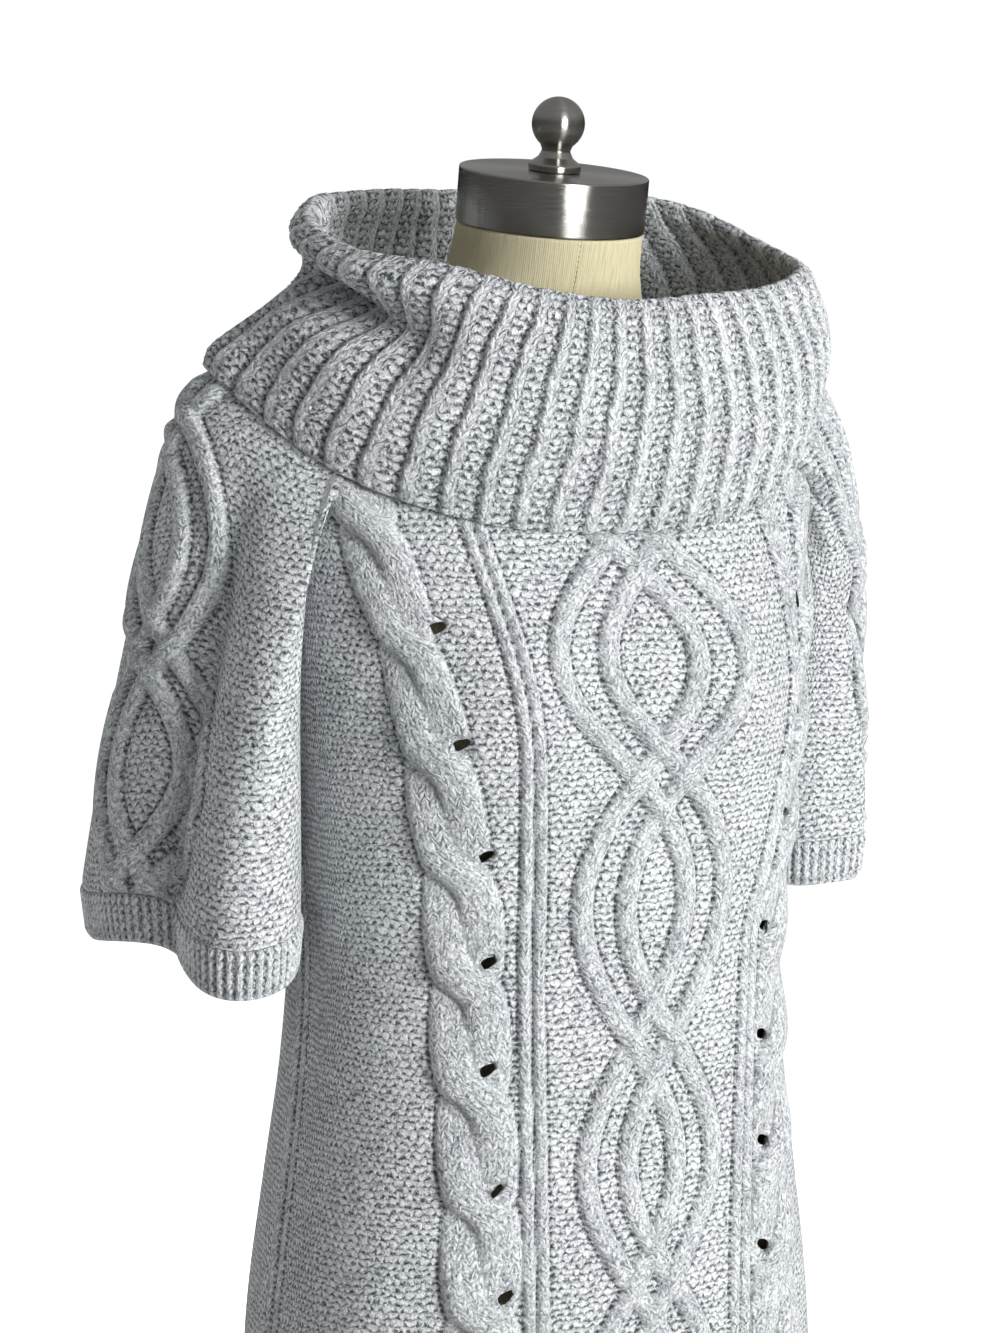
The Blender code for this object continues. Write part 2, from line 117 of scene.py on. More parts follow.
# %% Drafted sections of the dress form
form_bottom = 0.715
neck_top = 1.490
neck_lean = 10
neck_forward = -0.021
cap_radius = 0.0575
cap_height = 0.033
finial_radius = 0.016
pole_radius = 0.016
base_radius = 0.190
base_thickness = 0.012
FORM = table(
    "height half_width front back middle square lean",
    (form_bottom, 0.150, 0.092, 0.108, 0.000, 0.90, 0), (0.735, 0.160, 0.100, 0.118, 0.000, 0.90, 0),
    (0.780, 0.169, 0.107, 0.125, 0.000, 0.90, 0), (0.840, 0.171, 0.109, 0.125, 0.000, 0.90, 0),
    (0.910, 0.158, 0.106, 0.110, 0.000, 0.90, 0), (0.980, 0.134, 0.098, 0.092, 0.000, 0.90, 0),
    (1.040, 0.123, 0.092, 0.084, 0.000, 0.90, 0), (1.100, 0.131, 0.096, 0.087, 0.000, 0.90, 0),
    (1.160, 0.144, 0.102, 0.094, 0.000, 0.88, 0), (1.210, 0.153, 0.104, 0.100, 0.000, 0.86, 0),
    (1.260, 0.161, 0.099, 0.103, 0.000, 0.82, 0), (1.300, 0.168, 0.088, 0.102, 0.000, 0.78, 0),
    (1.340, 0.176, 0.072, 0.092, 0.000, 0.74, 0), (1.366, 0.184, 0.058, 0.080, 0.002, 0.72, 0),
    (1.386, 0.1885, 0.047, 0.068, 0.003, 0.72, 0), (1.399, 0.181, 0.040, 0.058, 0.004, 0.74, 0),
    (1.407, 0.162, 0.040, 0.053, 0.004, 0.78, 0), (1.413, 0.136, 0.044, 0.052, 0.003, 0.84, 0),
    (1.421, 0.110, 0.050, 0.053, 0.001, 0.88, 1), (1.430, 0.087, 0.055, 0.054, -0.001, 0.92, 3),
    (1.443, 0.069, 0.057, 0.055, -0.005, 0.97, 5), (1.460, 0.061, 0.058, 0.057, -0.011, 1.00, 7),
    (neck_top, 0.0562, 0.0562, 0.0562, neck_forward, 1.00, neck_lean))
bust = dict(x=0.082, height=1.212, spread=0.042, form=0.026, dress=0.013)
print("form:", len(FORM["height"]), "sections")

# %% [markdown]
# ## Curves and surfaces
#
# Cloth has no straight edges, so each draft is read through a cubic curve. A piece of the dress is
# then a function of two parameters: how far round the body and how far up.


# %% Curve helpers
def smooth(at, knots, values):
    """Cubic curve through values at knots, each knot's slope taken from its two neighbours."""
    slopes = np.gradient(values, knots)
    at = np.clip(at, knots[0], knots[-1])
    i = np.clip(np.searchsorted(knots, at, side="right") - 1, 0, len(knots) - 2)
    span = knots[i + 1] - knots[i]
    t = (at - knots[i]) / span
    rise = 3 * t**2 - 2 * t**3
    return ((1 - rise) * values[i] + rise * values[i + 1]
            + span * (t * (1 - t)**2 * slopes[i] - t**2 * (1 - t) * slopes[i + 1]))


def ease(at, start, end):
    """0 before start, 1 after end, and smooth between: 3t^2 - 2t^3."""
    t = np.clip((at - start) / (end - start), 0, 1)
    return 3 * t**2 - 2 * t**3


def bump(at, middle, spread):
    """Bell curve: exp(-((at - middle) / spread)^2)."""
    return np.exp(-((at - middle) / spread)**2)


def unit(vectors):
    """Vectors scaled to length 1."""
    return vectors / np.maximum(np.linalg.norm(vectors, axis=-1, keepdims=True), 1e-12)


def section(angle, half_width, front, back, squareness):
    """Level section: x = half_width sin^p and y = -depth cos^p, so p under 1 squares the oval."""
    sine = np.sin(np.radians(angle))
    cosine = np.cos(np.radians(angle))
    depth = np.where(cosine > 0, front, back)
    x = half_width * np.sign(sine) * np.abs(sine)**squareness
    y = -depth * np.sign(cosine) * np.abs(cosine)**squareness
    return x, y


def bust_rise(x, angle, height, amount):
    """How far the two cups stand forward: a bell curve about each bust point."""
    front_side = np.clip(np.cos(np.radians(angle)), 0, 1)**0.5
    return amount * front_side * bump(np.abs(x), bust["x"], bust["spread"]) \
        * bump(height, bust["height"], bust["spread"] * 1.3)


def outward(point, rise):
    """Direction out from the body's axis, with a given upward part."""
    flat = point * [1, 1, 0]
    return unit(unit(flat) + np.array([0, 0, 1]) * np.asarray(rise)[..., None])


print("bell curve at its spread: %.2f" % bump(1, 0, 1))


# %% The body's front and back panels
def neckline(angle):
    """The neckline's point at an angle."""
    return np.stack([smooth(angle, NECKLINE["angle"], NECKLINE[axis])
                     for axis in ("x", "y", "height")], axis=-1)


def body_point(angle, height):
    """The body's outer face at an angle and a height."""
    size = [smooth(height, BODY["height"], BODY[name]) for name in ("half_width", "front", "back")]
    x, y = section(angle, *size, 0.80)
    y = y - bust_rise(x, angle, height, bust["dress"])
    return np.stack([x, y, height + 0 * x], axis=-1)


def panel_top(angle):
    """How high a panel reaches: the neckline, or the armhole between its two corners."""
    knots = np.concatenate([[front_corner], ARMHOLE["angle"], [back_corner]])
    arm = np.abs(angle)
    sides = [smooth(arm, knots, np.concatenate([[neckline(side * front_corner)[2]],
                                                ARMHOLE["height"],
                                                [neckline(side * back_corner)[2]]]))
             for side in (-1, 1)]
    in_armhole = (arm > front_corner) & (arm < back_corner)
    return np.where(in_armhole, np.where(angle < 0, sides[0], sides[1]), neckline(angle)[..., 2])


def panel_point(angle, up):
    """A panel's outer face: up runs 0 at the hem to 1 at the top edge, which ends on the neckline."""
    top = panel_top(angle)
    height = hem_height + up * (top - hem_height)
    point = body_point(angle, height)
    miss = (neckline(angle) - body_point(angle, top)) * [1, 1, 0]
    arm = np.abs(angle)
    fade, chest, shoulder = 12, 1.20, 1.36
    reach = (1 - ease(arm, front_corner, front_corner + fade)
             + ease(arm, back_corner - fade, back_corner))
    share = ease(height, chest, shoulder) / np.maximum(ease(top, chest, shoulder), 0.01)
    return point + miss * (reach * np.clip(share, 0, 1))[..., None]


underarm, centre_front = panel_top(np.array([90.0, 0.0]))
print("underarm at %.3f m, centre front at %.3f m" % (underarm, centre_front))


# %% Sleeves
def armhole_edge(side, turn):
    """The body's edge round the arm. turn 0 is the underarm, 0.3 the front corner, 0.7 the back one."""
    angle = np.select(
        [turn < 0.3, turn < 0.7],
        [90 - (90 - front_corner) * turn / 0.3,
         front_corner + (back_corner - front_corner) * (turn - 0.3) / 0.4],
        back_corner - (back_corner - 90) * (turn - 0.7) / 0.3) * side
    on_shoulder = (turn >= 0.3) & (turn <= 0.7)
    return np.where(on_shoulder[..., None], neckline(angle), panel_point(angle, np.ones_like(angle)))


def armhole_point(side, turn):
    """A sleeve's top edge, which passes over the body's edge at the shoulder."""
    point = armhole_edge(side, turn)
    high = 0.5 - 0.5 * np.cos(2 * np.pi * turn)
    return point + outward(point, 0.7 * high**2) * (seam * 2 + (cloth + seam) * high)[..., None]


def sleeve_end(name, turn, grow=0.0):
    """A sleeve's lower edge: an oval with one deep fold pushed in. blunt under 1 squares its front."""
    hang = SLEEVE[name]
    turn = turn + hang["wrap"] * np.sin(2 * np.pi * turn)
    beta = np.radians(-90 + 360 * turn)
    from_fold = turn - hang["fold_turn"]
    spread = np.where(from_fold < 0, 0.036, 0.060)
    squash = 1 - hang["fold"] / hang["across"] * np.exp(-np.abs(from_fold / spread)**1.7)
    square = 1 - (1 - hang["blunt"]) * ease(np.cos(beta), -0.3, 0.3)
    wide = np.sign(np.sin(beta)) * np.abs(np.sin(beta))**square
    deep = np.sign(np.cos(beta)) * np.abs(np.cos(beta))**square
    x = hang["x"] + hang["side"] * (hang["across"] + grow) * wide * squash
    y = hang["y"] - (hang["along"] + grow) * deep * squash
    return np.stack([x, y, smooth(turn, HEM[name]["turn"], HEM[name]["height"])], axis=-1)


def sleeve_point(name, turn, down):
    """A sleeve's outer face: a cubic Bezier curve from the armhole (down 0) to the cuff (1)."""
    hang = SLEEVE[name]
    side = hang["side"]
    start = armhole_point(side, turn)
    end = sleeve_end(name, turn)
    high = 0.5 - 0.5 * np.cos(2 * np.pi * turn)
    forward = np.sin(2 * np.pi * turn)
    over_x, over_y, over_z = hang["over"]
    hang_x, hang_z = hang["hang"]
    low = 0.05
    leave = np.stack([side * (0.004 + over_x * high), -over_y * forward,
                      -low + (over_z + low) * high], axis=-1)
    arrive = np.stack([-side * hang_x * high, 0.004 * forward, hang_z * (0.45 + 0.55 * high)], axis=-1)
    t = down[..., None]
    return ((1 - t)**3 * start + 3 * (1 - t)**2 * t * (start + leave)
            + 3 * (1 - t) * t**2 * (end + arrive) + t**3 * end)


print("shoulder point:", np.round(armhole_point(-1, np.array(0.5)), 3))


# %% The cowl
def beside_sleeve(angle):
    """1 where the collar is sewn to a sleeve and 0 at the centre front and back."""
    return ease(np.abs(angle), 20, front_corner - 6) - ease(np.abs(angle), back_corner + 6, 165)


def collar_point(angle, up):
    """The collar's outer face: up runs 0 at the seam to 1 at the rim, bellied, with one pinch."""
    seat = neckline(angle)
    on_right = np.clip(-np.sin(np.radians(angle)), 0, 1)**2
    stand_off = collar_cloth + 2 * seam + (cloth + seam * (4 + 4 * on_right)) * beside_sleeve(angle)
    seat = seat + outward(seat, 0.22 + 0.60 * on_right) * stand_off[..., None]
    seat = seat - np.array([0, 0, lap]) * np.clip(np.cos(np.radians(angle)), 0, 1)[..., None]**4
    radius = smooth(angle, RIM["angle"], RIM["radius"])
    rim = np.stack([radius * np.sin(np.radians(angle)),
                    rim_centre_y - radius * np.cos(np.radians(angle)),
                    smooth(angle, RIM["angle"], RIM["height"])], axis=-1)
    out = outward((seat + rim) / 2, np.zeros_like(angle))
    belly = smooth(angle, RIM["angle"], RIM["belly"])
    belly = belly * np.sin(np.pi * np.clip(up, 0, 1))**np.where(belly < 0, 2, 1)
    pinch = 0.040 * bump(angle, -73, 21) * bump(up, 0.66, 0.13) \
        + 0.009 * bump(angle, -49, 8) * bump(up, 0.55, 0.22)
    lobe = 0.011 * bump(angle, -64, 28) * bump(up, 0.91, 0.10)
    share = up[..., None]
    return seat * (1 - share) + rim * share + out * (belly - pinch + lobe)[..., None]


print("cowl rim at the back: %.3f m" % collar_point(np.array(180.0), np.array(1.0))[2])


# %% [markdown]
# ## Meshes from grids
#
# A knit piece has two walls. The outer one carries the stitches' relief, so it needs a fine grid. The
# inner one is smooth and hardly seen, so a grid four times coarser does. The two are joined all round
# their edges, and round each eyelet, which makes the piece one closed solid.


# %% Mesh helpers
def length_along(points, axis):
    """Length from the first point along a grid's rows (0) or columns (1)."""
    steps = np.linalg.norm(np.diff(points, axis=axis), axis=-1)
    start = np.zeros_like(np.take(steps, [0], axis=axis))
    return np.cumsum(np.concatenate([start, steps], axis=axis), axis=axis)


def facing(points, closed, flip=False):
    """Unit normals of a grid: the step along a row crossed with the step up a column."""
    if closed:
        wrapped = np.concatenate([points[:, -1:], points, points[:, :1]], axis=1)
        along = (wrapped[:, 2:] - wrapped[:, :-2])
    else:
        along = np.gradient(points, axis=1)
    normal = unit(np.cross(along, np.gradient(points, axis=0)))
    return -normal if flip else normal


def make_piece(name, points, corners, sizes, finish, corner_uv=None, values=None):
    """One object from points and a flat list of each face's corners, with its map and values."""
    mesh = bpy.data.meshes.new(name)
    mesh.vertices.add(len(points))
    mesh.vertices.foreach_set("co", np.asarray(points, np.float32).ravel())
    mesh.loops.add(len(corners))
    mesh.loops.foreach_set("vertex_index", np.asarray(corners, np.int32))
    mesh.polygons.add(len(sizes))
    starts = np.concatenate([[0], np.cumsum(sizes)[:-1]])
    mesh.polygons.foreach_set("loop_start", starts.astype(np.int32))
    mesh.update(calc_edges=True)
    if corner_uv is not None:
        mesh.uv_layers.new(name="knit")
        mesh.uv_layers["knit"].data.foreach_set("uv", np.asarray(corner_uv, np.float32).ravel())
    for label, value in (values or {}).items():
        layer = mesh.attributes.new(label, "FLOAT", "POINT")
        layer.data.foreach_set("value", np.asarray(value, np.float32).ravel())
    mesh.validate()
    mesh.shade_smooth()
    mesh.materials.append(finish)
    made = bpy.data.objects.new(name, mesh)
    bpy.context.scene.collection.objects.link(made)
    triangles = int(np.sum(np.asarray(sizes) - 2))
    print(f"{name}: {triangles:,} triangles")
    return made


def settle(made, node):
    """Hides the piece's solid and attaches the finished piece to the one body."""
    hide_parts(node)
    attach(made, "root")
    return made


print("mesh helpers ready")


# %% Faces of a grid
def quads(rows, columns, closed, looped=False):
    """Corner indices of a grid's faces, as rows x columns x 4, and the same for its map. closed joins
    the last column to the first, and looped joins the last row to the first."""
    row, column = np.meshgrid(np.arange(rows if looped else rows - 1),
                              np.arange(columns if closed else columns - 1), indexing="ij")
    after = (column + 1) % columns
    above = (row + 1) % rows
    faces = np.stack([row * columns + column, row * columns + after,
                      above * columns + after, above * columns + column], axis=-1)
    wide = columns + 1 if closed else columns
    high = np.minimum(row + 1, rows - 1)
    maps = np.stack([row * wide + column, row * wide + column + 1,
                     high * wide + column + 1, high * wide + column], axis=-1)
    return faces, maps


def capped(rings, columns):
    """Corners and sizes of the faces of stacked rings, with a fan of triangles at each end. Their
    points end with the first ring's middle and the last ring's. Gives the map and lower fan too."""
    faces, maps = quads(rings, columns, True)
    first = np.arange(columns)
    last = (rings - 1) * columns + first
    low = np.stack([np.roll(first, -1), first, np.full(columns, rings * columns)], axis=-1)
    high = np.stack([last, np.roll(last, -1), np.full(columns, rings * columns + 1)], axis=-1)
    corners = np.concatenate([faces.ravel(), low.ravel(), high.ravel()])
    sizes = np.concatenate([np.full(faces.size // 4, 4), np.full(2 * columns, 3)])
    return corners, sizes, maps, low


def ring_of_block(row, column, size, columns):
    """Grid indices once round a block of cells, from its first corner."""
    step = np.arange(size)
    near = 0 * step
    far = near + size
    rows = row + np.concatenate([near, step, far, size - step])
    places = column + np.concatenate([step, far, size - step, near])
    return rows * columns + places


print("once round one cell of a grid of 5 columns:", ring_of_block(0, 0, 1, 5))

# %% A knitted shell
fine = 4               # outer cells to one inner cell, each way


def make_shell(name, outer, inner, stitch_map, values, finish, closed, flip, holes=()):
    """A closed shell: fine outer grid, coarse inner grid, and strips that join them at the edges
    and round each hole. stitch_map holds one more column than outer where the grid is closed."""
    rows, columns = outer.shape[:2]
    inner_rows, inner_columns = inner.shape[:2]
    outer_count = rows * columns
    wide = columns + 1 if closed else columns
    faces, maps = quads(rows, columns, closed)
    back_faces, _ = quads(inner_rows, inner_columns, closed)
    keep = np.ones(faces.shape[:2], bool)
    back_keep = np.ones(back_faces.shape[:2], bool)
    strips = []
    strip_maps = []

    def join(outer_line, map_line, inner_line, turned):
        """One face to each inner edge, with the outer edges that lie beside it."""
        run = fine * np.arange(len(inner_line) - 1)[:, None] + np.arange(fine + 1)
        far_side = np.stack([inner_line[1:], inner_line[:-1]], axis=1) + outer_count
        face = np.concatenate([outer_line[run], far_side], axis=1)
        face_map = map_line[np.concatenate([run, run[:, -1:], run[:, :1]], axis=1)]
        strips.append(face[:, ::-1] if turned else face)
        strip_maps.append(face_map[:, ::-1] if turned else face_map)

    for row, column in holes:
        first_row, first_column = row * fine, column * fine
        keep[first_row:first_row + fine, first_column:first_column + fine] = False
        back_keep[row, column] = False
        ring = ring_of_block(first_row, first_column, fine, columns)
        ring_map = ring_of_block(first_row, first_column, fine, wide)
        back_ring = ring_of_block(row, column, 1, inner_columns)
        join(np.append(ring, ring[0]), np.append(ring_map, ring_map[0]),
             np.append(back_ring, back_ring[0]), flip)

    around = np.arange(columns + 1) % columns if closed else np.arange(columns)
    map_around = np.arange(wide)
    back_around = np.arange(inner_columns + 1) % inner_columns if closed else np.arange(inner_columns)
    last, back_last = rows - 1, inner_rows - 1
    join(around, map_around, back_around, not flip)
    join(last * columns + around, last * wide + map_around,
         back_last * inner_columns + back_around, flip)
    if not closed:
        up_side = np.arange(rows)
        back_up = np.arange(inner_rows)
        join(up_side * columns, up_side * wide, back_up * inner_columns, flip)
        join(up_side * columns + columns - 1, up_side * wide + wide - 1,
             back_up * inner_columns + inner_columns - 1, not flip)

    front_faces = faces[keep]
    front_maps = maps[keep]
    rear = back_faces[back_keep] + outer_count
    if flip:
        front_faces = front_faces[:, ::-1]
        front_maps = front_maps[:, ::-1]
    else:
        rear = rear[:, ::-1]
    flat_map = stitch_map.reshape(-1, 2)
    inner_map = np.zeros((len(rear) * 4, 2))
    strips = np.concatenate(strips)
    corners = np.concatenate([front_faces.ravel(), rear.ravel(), strips.ravel()])
    sizes = np.repeat([4, 4, fine + 3], [len(front_faces), len(rear), len(strips)])
    corner_uv = np.concatenate([flat_map[front_maps.ravel()], inner_map,
                                flat_map[np.concatenate(strip_maps).ravel()]])
    inner_count = inner_rows * inner_columns
    filled = {label: np.concatenate([value.ravel(), np.full(inner_count, 0.02)])
              for label, value in values.items()}
    points = np.concatenate([outer.reshape(-1, 3), inner.reshape(-1, 3)])
    made = make_piece(name, points, corners, sizes, finish, corner_uv, filled)
    made.data.set_sharp_from_angle(angle=math.radians(65))
    return made


print("outer to inner cells:", fine, "to 1")

# %% [markdown]
# ## The stitches
#
# Close up, reverse stocking stitch is rows of short bumps set like bricks, and a raised strand is
# columns of long V's with a gutter at each edge, sunk in the relief and darkened by painted shade.
# Relief this fine would take millions of faces, so one node group works it out from the piece's
# stitch map, for colour and for the bump alike. The colour follows the height, so the gaps and
# gutters carry painted shade.


# %% Node helpers
def calculator(tree):
    """Gives calc(operation, values...), which adds a Math node and returns its output."""
    def calc(operation, *values, clamp=False):
        node = tree.nodes.new("ShaderNodeMath")
        node.operation = operation
        node.use_clamp = clamp
        for socket, value in zip(node.inputs, values):
            if isinstance(value, (int, float)):
                socket.default_value = value
            else:
                tree.links.new(value, socket)
        return node.outputs[0]
    return calc


def new_group(name, inputs, outputs):
    """An empty node group with named sockets. Each is (name, type, default)."""
    tree = bpy.data.node_groups.new(name, "ShaderNodeTree")
    for label, kind, default in inputs:
        socket = tree.interface.new_socket(label, in_out="INPUT", socket_type="NodeSocket" + kind)
        socket.default_value = default
    for label, kind in outputs:
        tree.interface.new_socket(label, in_out="OUTPUT", socket_type="NodeSocket" + kind)
    start = tree.nodes.new("NodeGroupInput")
    end = tree.nodes.new("NodeGroupOutput")
    return tree, start.outputs, end.inputs


def noise(tree, vector, scale, detail=2.0, flat=False):
    """A noise value from 0 to 1 on a vector."""
    node = tree.nodes.new("ShaderNodeTexNoise")
    node.noise_dimensions = "2D" if flat else "3D"
    node.inputs["Scale"].default_value = scale
    node.inputs["Detail"].default_value = detail
    tree.links.new(vector, node.inputs["Vector"])
    return node.outputs["Fac"]


def pair(tree, x, y):
    """A flat vector from two values."""
    node = tree.nodes.new("ShaderNodeCombineXYZ")
    tree.links.new(x, node.inputs[0])
    tree.links.new(y, node.inputs[1])
    return node.outputs[0]


def off_middle(tree, vector, scale, detail=1.0):
    """A noise value less a half, so that it lies about 0."""
    return calculator(tree)("SUBTRACT", noise(tree, vector, scale, detail), 0.5)


def blend_colours(tree, factor, stops):
    """Colours at places along 0 to 1, with an even blend between."""
    node = tree.nodes.new("ShaderNodeValToRGB")
    ramp = node.color_ramp
    while len(ramp.elements) < len(stops):
        ramp.elements.new(0.5)
    for element, (place, colour) in zip(ramp.elements, stops):
        element.position = place
        element.color = (*colour, 1)
    tree.links.new(factor, node.inputs["Fac"])
    return node.outputs["Color"]


print("node helpers ready")

# %% The stitch group
# The darkest colour serves both the dark marl fibres and the painted shade in the gaps.
yarn_dark_and_gap_shade = (0.055, 0.062, 0.072)
yarn_middle = (0.360, 0.385, 0.402)
yarn_light = (0.860, 0.878, 0.885)


def stitch_group():
    """Height: wavy rows of bumps set like bricks, and on a strand columns of V's with long legs.
    Colour: the marled yarn, with painted shade in the gaps and gutters, where it follows the height.
    Stitch and Course count stitches. Edge is the distance outside a strand's edge in metres, Across
    counts a strand's columns and Along its rows. The shade input is painted shade taken off the colour."""
    tree, given, wanted = new_group(
        "knit_stitches",
        [("Stitch", "Float", 0.0), ("Course", "Float", 0.0), ("Edge", "Float", 1.0),
         ("Across", "Float", 0.0), ("Along", "Float", 0.0), ("Painted_Shade", "Float", 0.0),
         ("Gutter", "Float", 0.72)],
        [("Colour", "Color"), ("Height", "Float")])
    calc = calculator(tree)
    stitch, course, edge, across, along = (given[k] for k in range(5))
    place = tree.nodes.new("ShaderNodeTexCoord").outputs["Object"]
    wander = off_middle(tree, place, 170.0)
    wander_two = off_middle(tree, place, 230.0)
    fray = off_middle(tree, place, 1000.0)
    drift = off_middle(tree, place, 70.0)

    loose_stitch = calc("MULTIPLY_ADD", fray, 0.55, calc("MULTIPLY_ADD", wander, 1.5, stitch))
    loose_course = calc("MULTIPLY_ADD", fray, 0.42, calc("MULTIPLY_ADD", wander_two, 1.0, course))
    loose_course = calc("MULTIPLY_ADD", drift, 1.2, loose_course)
    odd = calc("FRACT", calc("MULTIPLY", calc("FLOOR", calc("ADD", loose_course, 0.5)), 0.5))
    wave = calc("COSINE", calc("MULTIPLY", calc("ADD", loose_stitch, odd), 2 * math.pi))
    bent = calc("MULTIPLY_ADD", wave, 0.17, loose_course)
    low = calc("MULTIPLY_ADD", calc("COSINE", calc("MULTIPLY", bent, 2 * math.pi)), -0.5, 0.5)
    between = calc("MULTIPLY_ADD", wave, -0.5, 0.5)
    gap = calc("MULTIPLY", calc("POWER", low, 1.7), calc("MULTIPLY_ADD", between, 0.66, 0.18))
    purl = calc("SUBTRACT", calc("MULTIPLY_ADD", calc("POWER", between, 2.0), -0.27, 1.0), gap)

    loose_across = calc("MULTIPLY_ADD", wander, 0.70, across)
    from_middle = calc("ABSOLUTE", calc("MULTIPLY_ADD", calc("FRACT", loose_across), 2.0, -1.0))
    climb = calc("SUBTRACT", calc("MULTIPLY_ADD", wander_two, 1.1, along),
                 calc("MULTIPLY", from_middle, 0.95))
    leg = calc("MULTIPLY_ADD", calc("COSINE", calc("MULTIPLY", climb, 2 * math.pi)), 0.5, 0.5)
    rounded = calc("MULTIPLY", calc("MULTIPLY", from_middle, calc("SUBTRACT", 1.0, from_middle)), 4.0)
    strokes = noise(tree, pair(tree, calc("MULTIPLY", across, 1.2), calc("MULTIPLY", climb, 2.8)),
                    1.0, 3.0, True)
    knit = calc("ADD", calc("MULTIPLY_ADD", leg, 0.22, 0.44), calc("MULTIPLY", rounded, 0.24))
    knit = calc("MULTIPLY_ADD", calc("SUBTRACT", strokes, 0.5), 0.70, knit)

    on_strand = calc("MULTIPLY_ADD", edge, -1300.0, 0.6, clamp=True)
    # The gutter beside a strand's edge and its dark pits, one to each course, lower the height, and through
    # the colour they are painted shade.
    beside = calc("DIVIDE", calc("ABSOLUTE", calc("SUBTRACT", edge, 0.0011)), 0.0016)
    gutter = calc("SUBTRACT", 1.0, beside, clamp=True)
    dots = calc("MULTIPLY_ADD", calc("COSINE", calc("MULTIPLY", loose_course, 2 * math.pi)), -0.35, 0.65)
    gutter = calc("MULTIPLY", gutter, dots)
    height = calc("ADD", calc("MULTIPLY", purl, calc("SUBTRACT", 1.0, on_strand)),
                  calc("MULTIPLY", knit, on_strand))
    height = calc("SUBTRACT", height, calc("MULTIPLY", gutter, given["Gutter"]))

    marl = off_middle(tree, place, 620.0, 3.0)
    fleck = off_middle(tree, place, 1500.0)
    cloud = off_middle(tree, place, 26.0, 4.0)
    patches = off_middle(tree, place, 240.0, 2.0)
    streaks = calc("MULTIPLY", calc("SUBTRACT", strokes, 0.5), on_strand)
    # The colour follows the height, so the gaps and gutters are painted shade; the noises below are the
    # yarn's own marl.
    tone = calc("MULTIPLY_ADD", height, 0.62, 0.11)
    for value, weight in ((streaks, 0.55), (marl, 1.15), (fleck, 0.55), (cloud, 0.30), (patches, 0.50)):
        tone = calc("MULTIPLY_ADD", value, weight, tone)
    # The shade input takes painted shade off the colour, and where it is below 0 it paints a highlight.
    tone = calc("SUBTRACT", tone, given["Painted_Shade"], clamp=True)
    colour = blend_colours(tree, tone, [(0.02, yarn_dark_and_gap_shade), (0.40, yarn_middle), (0.88, yarn_light)])
    tint = blend_colours(tree, noise(tree, place, 17.0, 3.0), [(0.35, (0.980, 1.0, 0.990)),
                                                               (0.65, (1.0, 0.988, 1.004))])
    tinted = tree.nodes.new("ShaderNodeMix")
    tinted.data_type = "RGBA"
    tinted.blend_type = "MULTIPLY"
    tinted.inputs["Factor"].default_value = 1.0
    tree.links.new(colour, tinted.inputs[6])
    tree.links.new(tint, tinted.inputs[7])
    tree.links.new(tinted.outputs[2], wanted["Colour"])
    tree.links.new(calc("MULTIPLY_ADD", marl, 0.35, height), wanted["Height"])
    return tree


knit_stitches = stitch_group()
print("nodes in the stitch group:", len(knit_stitches.nodes))


# %% Material helpers
def plain_material(name, roughness, metallic=0.0):
    """A material with its Principled shader, and its nodes' tree."""
    made = bpy.data.materials.new(name)
    made.use_nodes = True
    shader = made.node_tree.nodes["Principled BSDF"]
    shader.inputs["Roughness"].default_value = roughness
    shader.inputs["Metallic"].default_value = metallic
    return made, made.node_tree, shader


def read_value(tree, name):
    """A number kept on the mesh's points."""
    node = tree.nodes.new("ShaderNodeAttribute")
    node.attribute_type = "GEOMETRY"
    node.attribute_name = name
    return node.outputs["Fac"]


def read_map(tree):
    """The stitch map's two values."""
    node = tree.nodes.new("ShaderNodeUVMap")
    node.uv_map = "knit"
    split = tree.nodes.new("ShaderNodeSeparateXYZ")
    tree.links.new(node.outputs["UV"], split.inputs[0])
    return split.outputs[0], split.outputs[1]


def add_bump(tree, shader, height, distance, strength=1.0):
    """A Bump node from a height to the shader's normal."""
    node = tree.nodes.new("ShaderNodeBump")
    node.inputs["Distance"].default_value = distance
    node.inputs["Strength"].default_value = strength
    tree.links.new(height, node.inputs["Height"])
    tree.links.new(node.outputs["Normal"], shader.inputs["Normal"])


print("material helpers ready")


